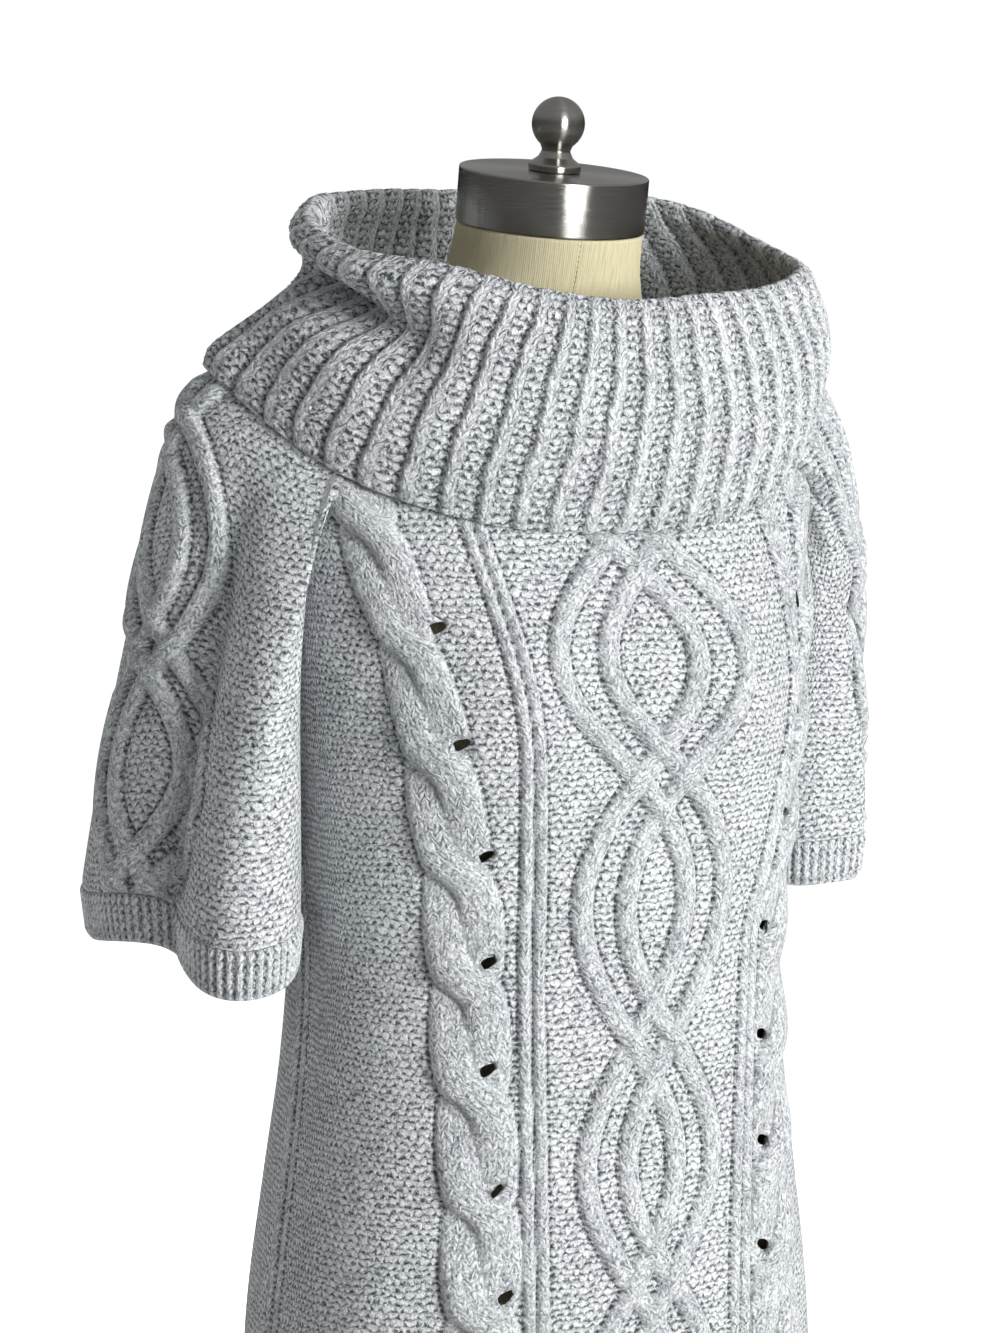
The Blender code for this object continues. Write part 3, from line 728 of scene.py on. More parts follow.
# %% Knit finishes
def wool(name, rib=None, bump_depth=0.0013):
    """The knit's finish. With rib, the map's first value counts ribs: each has a column of long legs
    at a place across it, rows of bumps on the rest, painted shade that grows towards the next groove
    and lines the groove, and a painted highlight on its legs."""
    made, tree, shader = plain_material(name, 0.92)
    shader.inputs["Sheen Weight"].default_value = 0.30
    shader.inputs["Sheen Roughness"].default_value = 0.6
    shader.inputs["Sheen Tint"].default_value = (0.90, 0.91, 0.92, 1)
    shader.inputs["Specular IOR Level"].default_value = 0.12
    group = tree.nodes.new("ShaderNodeGroup")
    group.node_tree = knit_stitches
    calc = calculator(tree)
    across, up = read_map(tree)
    tree.links.new(up, group.inputs["Course"])
    if rib:
        part = calc("FRACT", across)
        from_leg = calc("SUBTRACT", part, rib["leg"])
        tree.links.new(calc("MULTIPLY", across, rib["stitches"]), group.inputs["Stitch"])
        outside = calc("SUBTRACT", calc("ABSOLUTE", from_leg), rib["half"])
        tree.links.new(calc("MULTIPLY", outside, rib["wide"]), group.inputs["Edge"])
        tree.links.new(calc("MULTIPLY_ADD", from_leg, 0.5 / rib["half"], 0.5), group.inputs["Across"])
        tree.links.new(calc("MULTIPLY", up, 0.8), group.inputs["Along"])
        # Painted shade: each rib's far half darkens towards the next groove.
        lean = calc("MULTIPLY", calc("MULTIPLY_ADD", part, 2.0, -1.0, clamp=True), rib["shade"])
        # Painted shade along the groove line, which zigzags with the courses.
        zigzag = calc("COSINE", calc("MULTIPLY", up, 2 * math.pi * 0.8))
        zigzag = calc("MULTIPLY", zigzag, 0.0011 / rib["wide"])
        from_groove = calc("ABSOLUTE", calc("SUBTRACT", calc("FRACT", calc("ADD", across, 0.5)),
                                            calc("ADD", zigzag, 0.5)))
        groove = calc("MULTIPLY_ADD", from_groove, -rib["wide"] / 0.0013, 1.0, clamp=True)
        # Painted highlight: the column of legs is made lighter.
        on_leg = calc("MULTIPLY_ADD", calc("ABSOLUTE", from_leg), -1.0 / rib["half"], 1.0, clamp=True)
        lean = calc("MULTIPLY_ADD", on_leg, -0.16, lean)
        # The sum goes to the group as painted shade.
        tree.links.new(calc("MULTIPLY_ADD", groove, 0.34, lean), group.inputs["Painted_Shade"])
        group.inputs["Gutter"].default_value = 0.12
    else:
        tree.links.new(across, group.inputs["Stitch"])
        for value in ("edge", "across", "along"):
            tree.links.new(read_value(tree, value), group.inputs[value.capitalize()])
    tree.links.new(group.outputs["Colour"], shader.inputs["Base Color"])
    add_bump(tree, shader, group.outputs["Height"], bump_depth)
    return made


cable_wool = wool("heather_cable_knit")
# The shade value is the strength of the painted shade over each rib's far half.
cowl_rib = dict(wide=0.021, leg=0.24, half=0.19, stitches=3.0, shade=0.11)
cuff_rib = dict(wide=0.0062, leg=0.50, half=0.40, stitches=1.0, shade=0.08)
cowl_wool = wool("heather_rib_knit", cowl_rib, 0.0020)
cuff_wool = wool("heather_cuff_rib", cuff_rib, 0.0012)
print("knit finishes:", cable_wool.name, cowl_wool.name, cuff_wool.name)

# %% [markdown]
# ## The knitting chart
#
# A knitter's chart says what lies where, counted from the middle of the piece: a four-strand cable
# whose bands part and cross, a rib of two chains, a two-strand rope with an eyelet at each twist, and
# plain reverse stocking stitch between. Worn cloth stretches over bust and shoulders, so each line of
# the chart is placed at its worn position, and the width between lines is shared out evenly.


# %% Strands of yarn
def strand(middle, half, columns, high, lift, sideways, up):
    """One raised strand, as (key, edge, across, along). key is its height, (high + lift)
    sqrt(1 - offset^3), and falls off slowly outside. edge is the distance outside its edge."""
    heights = np.linspace(up.min(), up.max(), 1200)
    slopes = np.gradient(middle(heights), heights)
    travelled = np.cumsum(np.sqrt(1 + slopes**2)) * (heights[1] - heights[0])
    slope = np.interp(up, heights, slopes)
    offset = (sideways - middle(up)) / np.sqrt(1 + slope**2) / half
    edge = (np.abs(offset) - 1) * half
    dome = np.sqrt(np.clip(1 - np.abs(offset)**3, 0, 1))
    key = np.where(edge < 0, dome * (high + lift(up)), -0.05 * edge)
    along = np.interp(up, heights, travelled) / leg_high
    return key, edge, offset * columns / 2 + columns % 2 / 2, along


def top_strand(strands):
    """Where strands cross, the highest one shows. Gives its height, edge, across and along."""
    keys = np.stack([each[0] for each in strands])
    chosen = np.argmax(keys, axis=0)[None]
    return tuple(np.take_along_axis(np.stack([each[k] for each in strands]), chosen, axis=0)[0]
                 for k in range(4))


def parted_cable(crossings, sideways, up, swing, apart, high=0.0040):
    """Two bands of two strands. A band's middle is swing sin(phase), which passes through 0 at each
    crossing height. Where bands cross, their strands go over and under each other in turn."""
    numbers = np.arange(len(crossings)) * np.pi

    def band(height):
        return swing(height) * np.sin(smooth(height, crossings, numbers))

    strands = []
    for side in (1, -1):
        def lift(height, side=side):
            nearness = np.clip(1 - np.abs(band(height)) / (1.6 * apart(height)), 0, 1)
            return side * cross_lift * np.cos(np.pi * band(height) / apart(height)) * nearness**0.5
        for member in (1, -1):
            def middle(height, side=side, member=member):
                return side * band(height) + member * apart(height)
            strands.append(strand(middle, cable_half, 2, high, lift, sideways, up))
    return strands


def rope(sideways, up, lean, start):
    """Two flat strands that lie side by side, then cross quickly: a wave squared off by tanh."""
    strands = []
    for side in (1, -1):
        def middle(height, side=side):
            wave = np.tanh(1.7 * np.cos(np.pi * (height - start) / rope_twist)) / 0.935
            return lean * side * rope_swing * wave

        def lift(height, side=side):
            return side * 0.0036 * np.sin(np.pi * (height - start) / rope_twist)
        strands.append(strand(middle, rope_half, 4, 0.0048, lift, sideways, up))
    return strands


def chain(at, half, high, sideways, up):
    """One straight upright strand, a single column wide."""
    return [strand(lambda height: at + 0 * height, half, 1, high,
                   lambda height: 0 * height, sideways, up)]


leg_high = 0.0056
cable_half = 0.0070
cross_lift = 0.0026
rope_twist = 0.067
rope_swing = 0.0116
rope_half = 0.0138
gutter_depth = 0.0011
print("rope twist %.0f mm, legs %.1f mm high" % (rope_twist * 1000, leg_high * 1000))

# %% Where the chart's lines lie on the worn dress
stitch_wide = 0.0065
course_high = 0.00415
RIB = 0.0760           # chart widths from the middle line
ROPE = 0.1130
LINES = {
    "rope_right": table("height x", (0.560, -0.104), (0.800, -0.096), (0.933, -0.094), (0.991, -0.096),
                        (1.052, -0.0985), (1.107, -0.103), (1.160, -0.114), (1.2135, -0.124),
                        (1.261, -0.1335), (1.307, -0.143), (1.40, -0.160)),
    "rib_right": table("height x", (0.560, -0.064), (0.933, -0.061), (1.060, -0.061), (1.125, -0.061),
                       (1.178, -0.066), (1.220, -0.072), (1.273, -0.081), (1.318, -0.091), (1.40, -0.105)),
    "middle": table("height x", (0.560, 0.010), (0.900, 0.017), (1.060, 0.020), (1.120, 0.022),
                    (1.165, 0.022), (1.235, 0.016), (1.305, 0.011), (1.40, 0.009)),
    "rib_left": table("height x", (0.560, 0.080), (0.800, 0.083), (0.910, 0.0875), (1.022, 0.095),
                      (1.067, 0.099), (1.110, 0.115), (1.170, 0.128), (1.215, 0.134), (1.268, 0.130),
                      (1.330, 0.114), (1.40, 0.110)),
}
CHART = {"rope_right": -ROPE, "rib_right": -RIB, "middle": 0.0, "rib_left": RIB, "rope_left": ROPE}
STRETCH = table("height factor", (0.56, 1.0), (1.05, 1.0), (1.15, 1.18), (1.25, 1.36),
                (1.33, 1.48), (1.45, 1.5))
beyond = 0.4           # how far past the last line the chart runs on


def chart_place(points, lines, toward):
    """Chart widths of a panel's points, and their distances along the cloth from each line. On each
    row a line is found where the row crosses it, and the chart is shared out evenly between."""
    x = toward * points[..., 0]
    height = points[..., 2]
    along = length_along(points, 1)
    stretch = smooth(height.mean(axis=1), STRETCH["height"], STRETCH["factor"])
    order = list(lines) if toward > 0 else list(lines)[::-1]
    worn = []
    for name in order:
        past = x - toward * smooth(height, lines[name]["height"], lines[name]["x"])
        worn.append(np.array([np.interp(0, past[row], along[row]) for row in range(len(x))]))
    drawn = np.array([toward * CHART[name] for name in order])
    worn = np.stack([worn[0] - beyond] + worn + [worn[-1] + beyond], axis=1)
    chart = np.repeat(drawn[None], len(x), axis=0)
    chart = np.column_stack([drawn[0] - beyond / stretch, chart, drawn[-1] + beyond / stretch])
    sideways = np.stack([np.interp(along[row], worn[row], chart[row]) for row in range(len(x))])
    from_line = {}
    for name, place in CHART.items():
        at = np.array([np.interp(toward * place, chart[row], worn[row]) for row in range(len(x))])
        from_line[name] = (along - at[:, None]) * toward
    return sideways * toward, from_line


print("chart lines:", ", ".join(LINES))

# %% [markdown]
# ## Front and back
#
# The body is knitted as two panels that meet at the side seams. Both carry the same chart. The hem is
# ribbed and knitted in one with its panel. A cable could be a curve laid on the cloth, but it would have
# a hard edge and no root in the knit. Here the chart gives each point of the grid a height over the
# ground, so strands rise from the cloth, and an eyelet is one cell left out and drawn into a teardrop.

# %% The body's relief
crossing_heights = np.array([0.555, 0.705, 0.855, 1.005, 1.165, 1.305, 1.455])
eyelet_heights = np.array([1.258, 1.196, 1.127, 1.063, 0.995, 0.928, 0.861, 0.794, 0.727])
CABLE = table("height swing apart", (0.56, 0.0345, 0.0146), (1.08, 0.0354, 0.0149),
              (1.245, 0.0471, 0.0172), (1.45, 0.0471, 0.0172))
EYELET = table("height reach", (0.56, 0.0150), (1.05, 0.0150), (1.13, 0.0185), (1.26, 0.0225),
               (1.45, 0.0225))
hem_rib = 0.070
rib_wide = 0.0110
rib_half = 0.30        # a rib's half width, as a share of rib_wide


def over_ground(key, edge):
    """Relief from a strand's height, less a gutter beside its edge."""
    return np.maximum(key, 0) - gutter_depth * bump(edge, 0.0009, 0.0010)


def body_relief(sideways, from_line, from_side, up):
    """Height over the ground, and the top strand's edge, across and along, for the body's chart."""
    strands = parted_cable(crossing_heights, from_line["middle"], up,
                           lambda height: smooth(height, CABLE["height"], CABLE["swing"]),
                           lambda height: smooth(height, CABLE["height"], CABLE["apart"]))
    for name, lean in (("left", -1), ("right", 1)):
        for column in (-0.0046, 0.0046):
            strands += chain(column, 0.0037, 0.0028, from_line["rib_" + name], up)
        strands += rope(from_line["rope_" + name], up, lean, 1.0165)
    strands += chain(0.0052, 0.0034, 0.0018, from_side + 0.05 * ease(up, 1.125, 1.135), up)
    key, edge, across, along = top_strand(strands)
    relief = over_ground(key, edge)
    part = (sideways / rib_wide) % 1 - 0.5
    rib_relief = 0.0022 * np.sqrt(np.clip(1 - (part / rib_half)**2, 0, 1))
    in_cloth = ease(up, hem_height + hem_rib - 0.004, hem_height + hem_rib + 0.004)
    in_rib = in_cloth < 0.5
    return (relief * in_cloth + rib_relief * (1 - in_cloth),
            np.where(in_rib, (np.abs(part) - rib_half) * rib_wide, edge),
            np.where(in_rib, part / 2 / rib_half + 0.5, across),
            np.where(in_rib, up / leg_high, along))


swings = 1000 * smooth(np.array([1.08, 1.245]), CABLE["height"], CABLE["swing"])
print("cable swing %.1f mm at the waist, %.1f mm at the bust" % tuple(swings))


# %% Spacing of columns and rows
def even_angles(first, last, count):
    """Angles whose points lie evenly along the body's section at the waist."""
    many = np.linspace(first, last, 6001)
    line = body_point(np.where(many > 180, many - 360, many), np.full(6001, waist))
    along = length_along(line[None], 1)[0]
    return np.interp(np.linspace(0, along[-1], count), along, many)


def spread_rows(stops):
    """Values along 0 to 1 from (start, cells) stops, ending at 1. Each count is a multiple of 4."""
    values = []
    ends = [start for start, _ in stops[1:]] + [1.0]
    for (start, cells), end in zip(stops, ends):
        values.append(np.linspace(start, end, cells, endpoint=False))
    return np.concatenate(values + [[1.0]])


print("even angles:", np.round(even_angles(-90, 90, 5), 1))


# %% Folds and eyelets
def soft_folds(angle, up):
    """Slow waves of hanging cloth: a sum of cosines round the body that grow towards the hem."""
    fall = 1 - ease(up, 0.05, 0.62)
    turn = np.radians(angle)
    return 0.0022 * fall * (np.cos(7 * turn + 0.6) + 0.6 * np.cos(12 * turn - 1.1))


def shape_eyelet(outer, inner, normal, row, column):
    """Turns a square hole into a teardrop that leans, and draws its edge down into the cloth. Each
    edge point keeps its turn round the hole, so the sides stay even."""
    first_row, first_column, half = row * fine, column * fine, fine // 2
    out = normal[first_row + half, first_column + half]
    side = 1 if column < inner.shape[1] / 2 else -1
    lean = math.radians(-52 * side)
    middle = outer[first_row:first_row + fine + 1, first_column:first_column + fine + 1].mean(axis=(0, 1))
    across = unit(outer[first_row + half, first_column + fine] - outer[first_row + half, first_column])
    up = np.cross(out, across)
    for grid, size, wider, deep in ((outer, fine, 1.0, 0.0016), (inner, 1, 1.7, 0.0006)):
        ring = ring_of_block(row * size, column * size, size, grid.shape[1])
        rows, columns = ring // grid.shape[1], ring % grid.shape[1]
        turn = np.radians(-135 + 360 * np.arange(len(ring)) / len(ring))
        long_way = 0.0064 * wider * np.sin(turn)
        short_way = 0.0031 * wider * np.cos(turn) * (1 - 0.35 * np.sin(turn))
        sideways = short_way * math.cos(lean) - long_way * math.sin(lean)
        upward = short_way * math.sin(lean) + long_way * math.cos(lean)
        away = ((grid[rows, columns] - middle) @ out)[:, None]
        grid[rows, columns] = (middle + across * sideways[:, None] + up * upward[:, None]
                               + out * (away - deep))


print("soft folds at the hem, mm:", np.round(1000 * soft_folds(np.array([0, 45, 90]), 0.0), 1))

# %% A panel
STRAND = ("edge", "across", "along")


def make_panel(name, first, last, columns, stops, lines, toward, open_eyelets):
    """A panel of the body. The outer wall is the surface moved along its normals by relief plus folds,
    and the inner wall is the surface moved by the folds less the cloth's thickness."""
    to_side = 0.17
    gap = math.degrees(seam / 2 / to_side)
    angles = even_angles(first + gap, last - gap, columns * fine + 1)
    up = spread_rows(stops)
    angle, share = np.meshgrid(np.where(angles > 180, angles - 360, angles), up)
    base = panel_point(angle, share)
    normal = facing(base, False)
    sideways, from_line = chart_place(base, lines, toward)
    from_first = length_along(base, 1)
    from_side = np.minimum(from_first, from_first[:, -1:] - from_first)
    relief, *strand_values = body_relief(sideways, from_line, from_side, base[..., 2])
    from_top = (1 - share) * (panel_top(angle) - hem_height)
    by_left_arm = ease(base[..., 0], 0.08, 0.12) * ease(base[..., 2], 1.11, 1.15)
    edge = ease(from_side, 0.0, 0.005 + 0.025 * by_left_arm) * ease(from_top, 0.0, 0.007)
    fold = soft_folds(angle, share) * ease(from_side, 0.0, 0.05)
    outer = base + normal * (relief * edge + fold - 0.0010)[..., None]
    inner = (base + normal * (fold - cloth)[..., None])[::fine, ::fine]
    holes = []
    centres = slice(fine // 2, None, fine)
    for rope_name, side in (("rope_right", 1), ("rope_left", -1)) if open_eyelets else ():
        for height in eyelet_heights:
            reach = smooth(height, EYELET["height"], EYELET["reach"])
            beside = from_line[rope_name][centres, centres] * side - reach
            above = base[centres, centres, 2] - height
            holes.append(np.unravel_index(np.argmin(np.hypot(beside, above)), beside.shape))
    for row, column in holes:
        shape_eyelet(outer, inner, normal, row, column)
    wide_map = np.stack([from_line["middle"] / stitch_wide, base[..., 2] / course_high], axis=-1)
    made = make_shell(name + "_knit", outer, inner, wide_map, dict(zip(STRAND, strand_values)),
                      cable_wool, False, False, holes)
    print("  eyelets:", len(holes), " width %.3f m, length %.3f m" % (
        from_first[:, -1].mean(), length_along(base, 0)[-1].mean()))
    return settle(made, name)


BACK_LINES = dict(LINES,
                  rib_left=dict(LINES["rib_right"], x=-LINES["rib_right"]["x"]),
                  middle=dict(LINES["middle"], x=0 * LINES["middle"]["x"]))
front = make_panel("front", -90, 90, 60, [(0.0, 72), (0.36, 244)], LINES, 1, True)
back = make_panel("back", 90, 270, 50, [(0.0, 64), (0.36, 180)], BACK_LINES, -1, False)

# %% [markdown]
# ## Sleeves and cuffs
#
# Each sleeve is a wide tube that drops from the shoulder, flattened by its own weight, with one deep
# fold in front. The same four-strand cable runs down its outer side to a narrow ribbed cuff. Simulated
# cloth would drop its folds by chance. Here a Bezier curve runs from each point of the armhole to the
# cuff, so the fold falls where it is drafted and both ends meet their neighbours.


# %% Sleeves
def make_sleeve(name, columns, rows, first_crossing, further):
    """A sleeve: its surface from cuff to armhole, moved out along its normals by the cable's relief.
    Bell curves round the turn sharpen the fold into a crease with a ridge beside it, and the top edge
    is drawn down onto the body's."""
    hang = SLEEVE[name]
    side = hang["side"]
    turns = np.arange(columns * fine) / (columns * fine)
    down = np.linspace(1, 0, rows * fine + 1)
    turn, drop = np.meshgrid(turns, down)
    strip = np.linspace(upright, 0, fine, endpoint=False)[:, None, None] * np.array([0, 0, 1])
    base = np.concatenate([sleeve_end(name, turns)[None] - strip, sleeve_point(name, turn, drop)])
    down = np.concatenate([np.ones(fine), down])
    flip = side < 0
    normal = facing(base, True, flip)
    around = length_along(np.concatenate([base, base[:, :1]], axis=1), 1)
    full_turn = np.append(turns, 1.0)
    axis = smooth(down, AXIS["down"], AXIS["turn"]) + further
    axis_at = np.array([np.interp(axis[row], full_turn, around[row]) for row in range(len(down))])
    sideways = (around - axis_at[:, None]) * side
    up = length_along(base, 0)
    wide_up = np.concatenate([up, up[:, :1]], axis=1)
    crossings = first_crossing + crossing_apart * np.arange(-1, 4)
    strands = parted_cable(crossings, sideways[:, :-1], up,
                           lambda height: 0.0345 + 0.0065 * (1 - ease(height, 0.13, 0.17)),
                           lambda height: 0.0140 + 0 * height, 0.0052)
    key, *strand_values = top_strand(strands)
    relief = over_ground(key, strand_values[0])
    to_armhole = up[-1] - up
    at_ends = ease(up, 0.0, 0.004) * ease(to_armhole, 0.0, 0.012)
    from_edge = 1 - ease(to_armhole, 0.0, 0.030)
    valley = (0.0065 * bump(turns, hang["fold_turn"], 0.022)
              - 0.0050 * bump(turns, hang["fold_turn"] - 0.085, 0.050))
    deepest = ease(down, 0.15, 0.55) * (1 - ease(down, 0.93, 1.0))
    valley = valley * hang["fold"] / 0.024 * deepest[:, None]
    filled = (0.0060 * (1 - hang["blunt"]) / 0.45 * bump(turns, 0.24, 0.17)
              * bump(to_armhole, 0.035, 0.032))
    base = base + normal * (filled - valley)[..., None]
    to_body = (armhole_edge(side, turns) - armhole_point(side, turns))[None] * from_edge[..., None]
    dive = 0.0012 * (1 - ease(to_armhole, 0.0, 0.0035)) - 0.0020 * from_edge
    over_edge = unit(base[-1] - base[-2]) * 0.0018 * (1 - ease(to_armhole, 0.0, 0.008))[..., None]
    outer = base + over_edge + to_body + normal * (relief * at_ends - 0.0008 - dive)[..., None]
    inner = (base - normal * cloth)[::fine, ::fine]
    wide_map = np.stack([sideways / stitch_wide, wide_up / course_high], axis=-1)
    made = make_shell(f"sleeve_{name}_knit", outer, inner, wide_map,
                      dict(zip(STRAND, strand_values)), cable_wool, True, flip)
    print("  round %.3f m, length over the shoulder %.3f m" % (around[:, -1].mean(), up[-1].max()))
    return settle(made, f"sleeve_{name}")


crossing_apart = 0.140
AXIS = table("down turn", (0.0, 0.530), (0.3, 0.490), (0.6, 0.455), (1.0, 0.440))
sleeve_right = make_sleeve("right", 64, 46, 0.007, 0.02)
sleeve_left = make_sleeve("left", 60, 46, 0.030, -0.11)


# %% Cuffs
def make_cuff(name, columns, rows):
    """A cuff: half-round ribs 6 mm apart round the sleeve's lower edge, drawn in 4 mm at its hem."""
    flip = SLEEVE[name]["side"] < 0
    turns = np.arange(columns * fine) / (columns * fine)
    edge = sleeve_end(name, turns)
    hem = sleeve_end(name, turns, -0.004)
    drops = np.linspace(cuff_depth, upright + 2 * seam, rows * fine + 1)
    share = np.maximum(drops - 2 * upright, 0) / cuff_depth
    base = (edge[None] + (hem - edge)[None] * share[:, None, None]
            - drops[:, None, None] * np.array([0, 0, 1]))
    normal = facing(base, True, flip)
    around = length_along(np.concatenate([base, base[:, :1]], axis=1), 1)
    ribs = round(around[-1, -1] / cuff_rib["wide"])
    count = around / around[:, -1:] * ribs
    part = (count[:, :-1] % 1 - 0.5) / rib_half
    relief = 0.0017 * np.sqrt(np.clip(1 - part**2, 0, 1))
    fade = ease(drops, cuff_depth, cuff_depth - 0.003) * ease(drops, upright + seam, upright + 0.003)
    outer = base + normal * (relief * fade[:, None] - 0.0008)[..., None]
    inner = (base - normal * cloth)[::fine, ::fine]
    up = np.repeat(drops[:, None], columns * fine + 1, axis=1)
    wide_map = np.stack([count, -up / course_high], axis=-1)
    made = make_shell(f"cuff_{name}_rib", outer, inner, wide_map, {}, cuff_wool, True, flip)
    print("  ribs:", ribs, " round %.3f m" % around[0, -1])
    return settle(made, f"cuff_{name}")


cuff_right = make_cuff("right", 92, 4)
cuff_left = make_cuff("left", 84, 4)

# %% [markdown]
# ## The cowl
#
# The cowl is one wide tube of thick rib, sewn to the neckline. It stands up by itself, rolls over at
# the rim and shows its inner side behind the neck. A sheet with a Solidify modifier would have the same
# relief on both sides and a square rim, so its section is drawn as a closed loop instead: up the outer
# wall, over the round rim, down the inner wall and back along the seam.


# %% The cowl's surface
def make_cowl(columns, rows):
    """The cowl as a closed grid of loops. Each loop runs up outside, round the rim and down inside. A
    rib rises quickly from its groove and falls slowly to the next: ease^0.8 (1 - part^5)."""
    slant, depth, knot = 0.010, 0.135, 0.0070
    rim_rows = 7
    course = 0.0052
    many = np.linspace(-180, 180, 4001)
    loop = collar_point(many, np.full(4001, 0.5))
    round_length = length_along(loop[None], 1)[0]
    ribs = round(round_length[-1] / cowl_rib["wide"])
    angles = np.interp(np.arange(columns) / columns * round_length[-1], round_length, many)
    angle, up = np.meshgrid(angles, np.linspace(0, 1, rows))
    face = collar_point(angle, up)
    normal = facing(face, True)
    at = np.interp(angle, many, round_length)
    sway = (0.0008 * np.cos(2 * np.pi * (up * 2.3 + angle / 47))
            + 0.0004 * np.cos(2 * np.pi * (up * 5.3 - angle / 29)))
    count = (at - slant * up + sway) / round_length[-1] * ribs
    part = count % 1
    knots = 0.0006 * np.cos(2 * np.pi * (up * depth / knot + np.round(count) * 0.5))
    rib = 0.0040 * ease(part, 0.0, 0.14)**0.8 * (1 - part**5.0) * (1 - 0.75 * ease(up, 0.85, 1.0))
    rib = rib + knots * ease(part, 0.30, 0.45)
    rolled = 0.0032 * bump(up, 0.95, 0.07)
    puff = 0.013 * bump(angle, -92, 38) * bump(up, 0.92, 0.11)
    at_seam = ease(up, -0.01, 0.03)
    at_foot = (1 - ease(up, 0.0, 0.10))[..., None]
    seat = neckline(angle) - np.array([0, 0, lap])
    out = outward(seat, 0.3 + 0 * angle)
    foot = seat + out * (0.0004 + 0.0028 * beside_sleeve(angle))[..., None]
    outer = face + normal * (rolled - 0.0022)[..., None]
    outer = outer * (1 - at_foot) + foot * at_foot + normal * (rib * at_seam)[..., None]
    thick = collar_cloth + 0.6 * rib * ease(up, 0.08, 0.22) + rolled + puff
    inner = face - normal * thick[..., None]
    inner = inner * (1 - at_foot) + (foot - out * 0.0010) * at_foot
    rim_turn = np.radians(np.linspace(20, 160, rim_rows))[:, None, None]
    middle = (outer[-1] + inner[-1]) / 2
    reach = (outer[-1] - inner[-1]) / 2
    climb = unit(face[-1] - face[-2]) * np.linalg.norm(reach, axis=-1, keepdims=True) * 0.9
    rim = middle + reach * np.cos(rim_turn) + climb * np.sin(rim_turn)
    loop_points = np.concatenate([outer, rim, inner[::-1]])
    wide_count = np.concatenate([count, np.repeat(count[-1:], rim_rows, axis=0), count[::-1]])
    wide_count = np.concatenate([wide_count, wide_count[:, :1] + ribs], axis=1)
    wide_up = np.repeat(length_along(loop_points[:, :1], 0) / course, columns + 1, axis=1)
    flat_map = np.stack([wide_count, wide_up], axis=-1).reshape(-1, 2)
    faces, maps = quads(len(loop_points), columns, True, True)
    made = make_piece("collar_rib", loop_points.reshape(-1, 3), faces.ravel(),
                      np.full(faces.size // 4, 4), cowl_wool, flat_map[maps.ravel()])
    print("  ribs:", ribs, " round %.3f m, deep %.3f m" % (
        round_length[-1], length_along(face, 0)[-1].mean()))
    return settle(made, "collar")


collar = make_cowl(612, 76)

# %% [markdown]
# ## The dress form
#
# The torso is padded and covered in linen, cut in panels whose seams run up the centre front, the
# centre back and the sides. Its neck ends in a cap of brushed steel with a small ball on top. A padded
# torso has no edge to model from, so it is a stack of level sections read from the draft. The metal
# pieces are turned on a lathe, so each is a profile carried once round its axis.


# %% Linen
def linen_finish():
    """Plain weave: two sets of fine threads on the stitch map, in metres, with slubs."""
    made, tree, shader = plain_material("linen_cover", 0.85)
    shader.inputs["Sheen Weight"].default_value = 0.12
    shader.inputs["Specular IOR Level"].default_value = 0.25
    calc = calculator(tree)
    across, up = read_map(tree)
    warp = calc("COSINE", calc("MULTIPLY", across, 2 * math.pi / 0.00125))
    weft = calc("COSINE", calc("MULTIPLY", up, 2 * math.pi / 0.0010))
    drawn_out = pair(tree, calc("MULTIPLY", across, 900.0), calc("MULTIPLY", up, 55.0))
    slub = noise(tree, drawn_out, 1.0, 3.0, True)
    thread = calc("ADD", calc("MULTIPLY", warp, 0.30), calc("MULTIPLY", weft, 0.12))
    height = calc("ADD", thread, calc("MULTIPLY", slub, 0.7))
    from_seam = calc("ABSOLUTE", read_value(tree, "seam"))
    stitch_dots = calc("GREATER_THAN", calc("COSINE", calc("MULTIPLY", up, 2 * math.pi / 0.0031)), 0.1)
    seam_line = calc("SUBTRACT", 1.0, calc("MULTIPLY", from_seam, 1600.0), clamp=True)
    dotted = calc("MULTIPLY", seam_line, calc("MULTIPLY_ADD", stitch_dots, 0.75, 0.15))
    tone = calc("MULTIPLY_ADD", slub, 0.55, 0.24)
    tone = calc("ADD", tone, calc("MULTIPLY", thread, 0.16))
    tone = calc("SUBTRACT", tone, calc("MULTIPLY", dotted, 0.5), clamp=True)
    colour = blend_colours(tree, tone, [(0.0, (0.20, 0.165, 0.095)), (0.5, (0.66, 0.60, 0.385)),
                                        (1.0, (0.84, 0.78, 0.57))])
    tree.links.new(colour, shader.inputs["Base Color"])
    add_bump(tree, shader, calc("SUBTRACT", height, calc("MULTIPLY", seam_line, 1.2)), 0.00025)
    return made


linen = linen_finish()
print("linen:", linen.name)


# %% The torso and neck
def torso_point(angle, height):
    """The form's surface: a level section, two bust cups, and a tilt that grows up the neck."""
    *size, middle, lean = [smooth(height, FORM["height"], FORM[name])
                           for name in ("half_width", "front", "back", "square", "middle", "lean")]
    x, y = section(angle, *size)
    y = y - bust_rise(x, angle, height, bust["form"])
    return np.stack([x, y + middle, height + y * np.tan(np.radians(lean))], axis=-1)


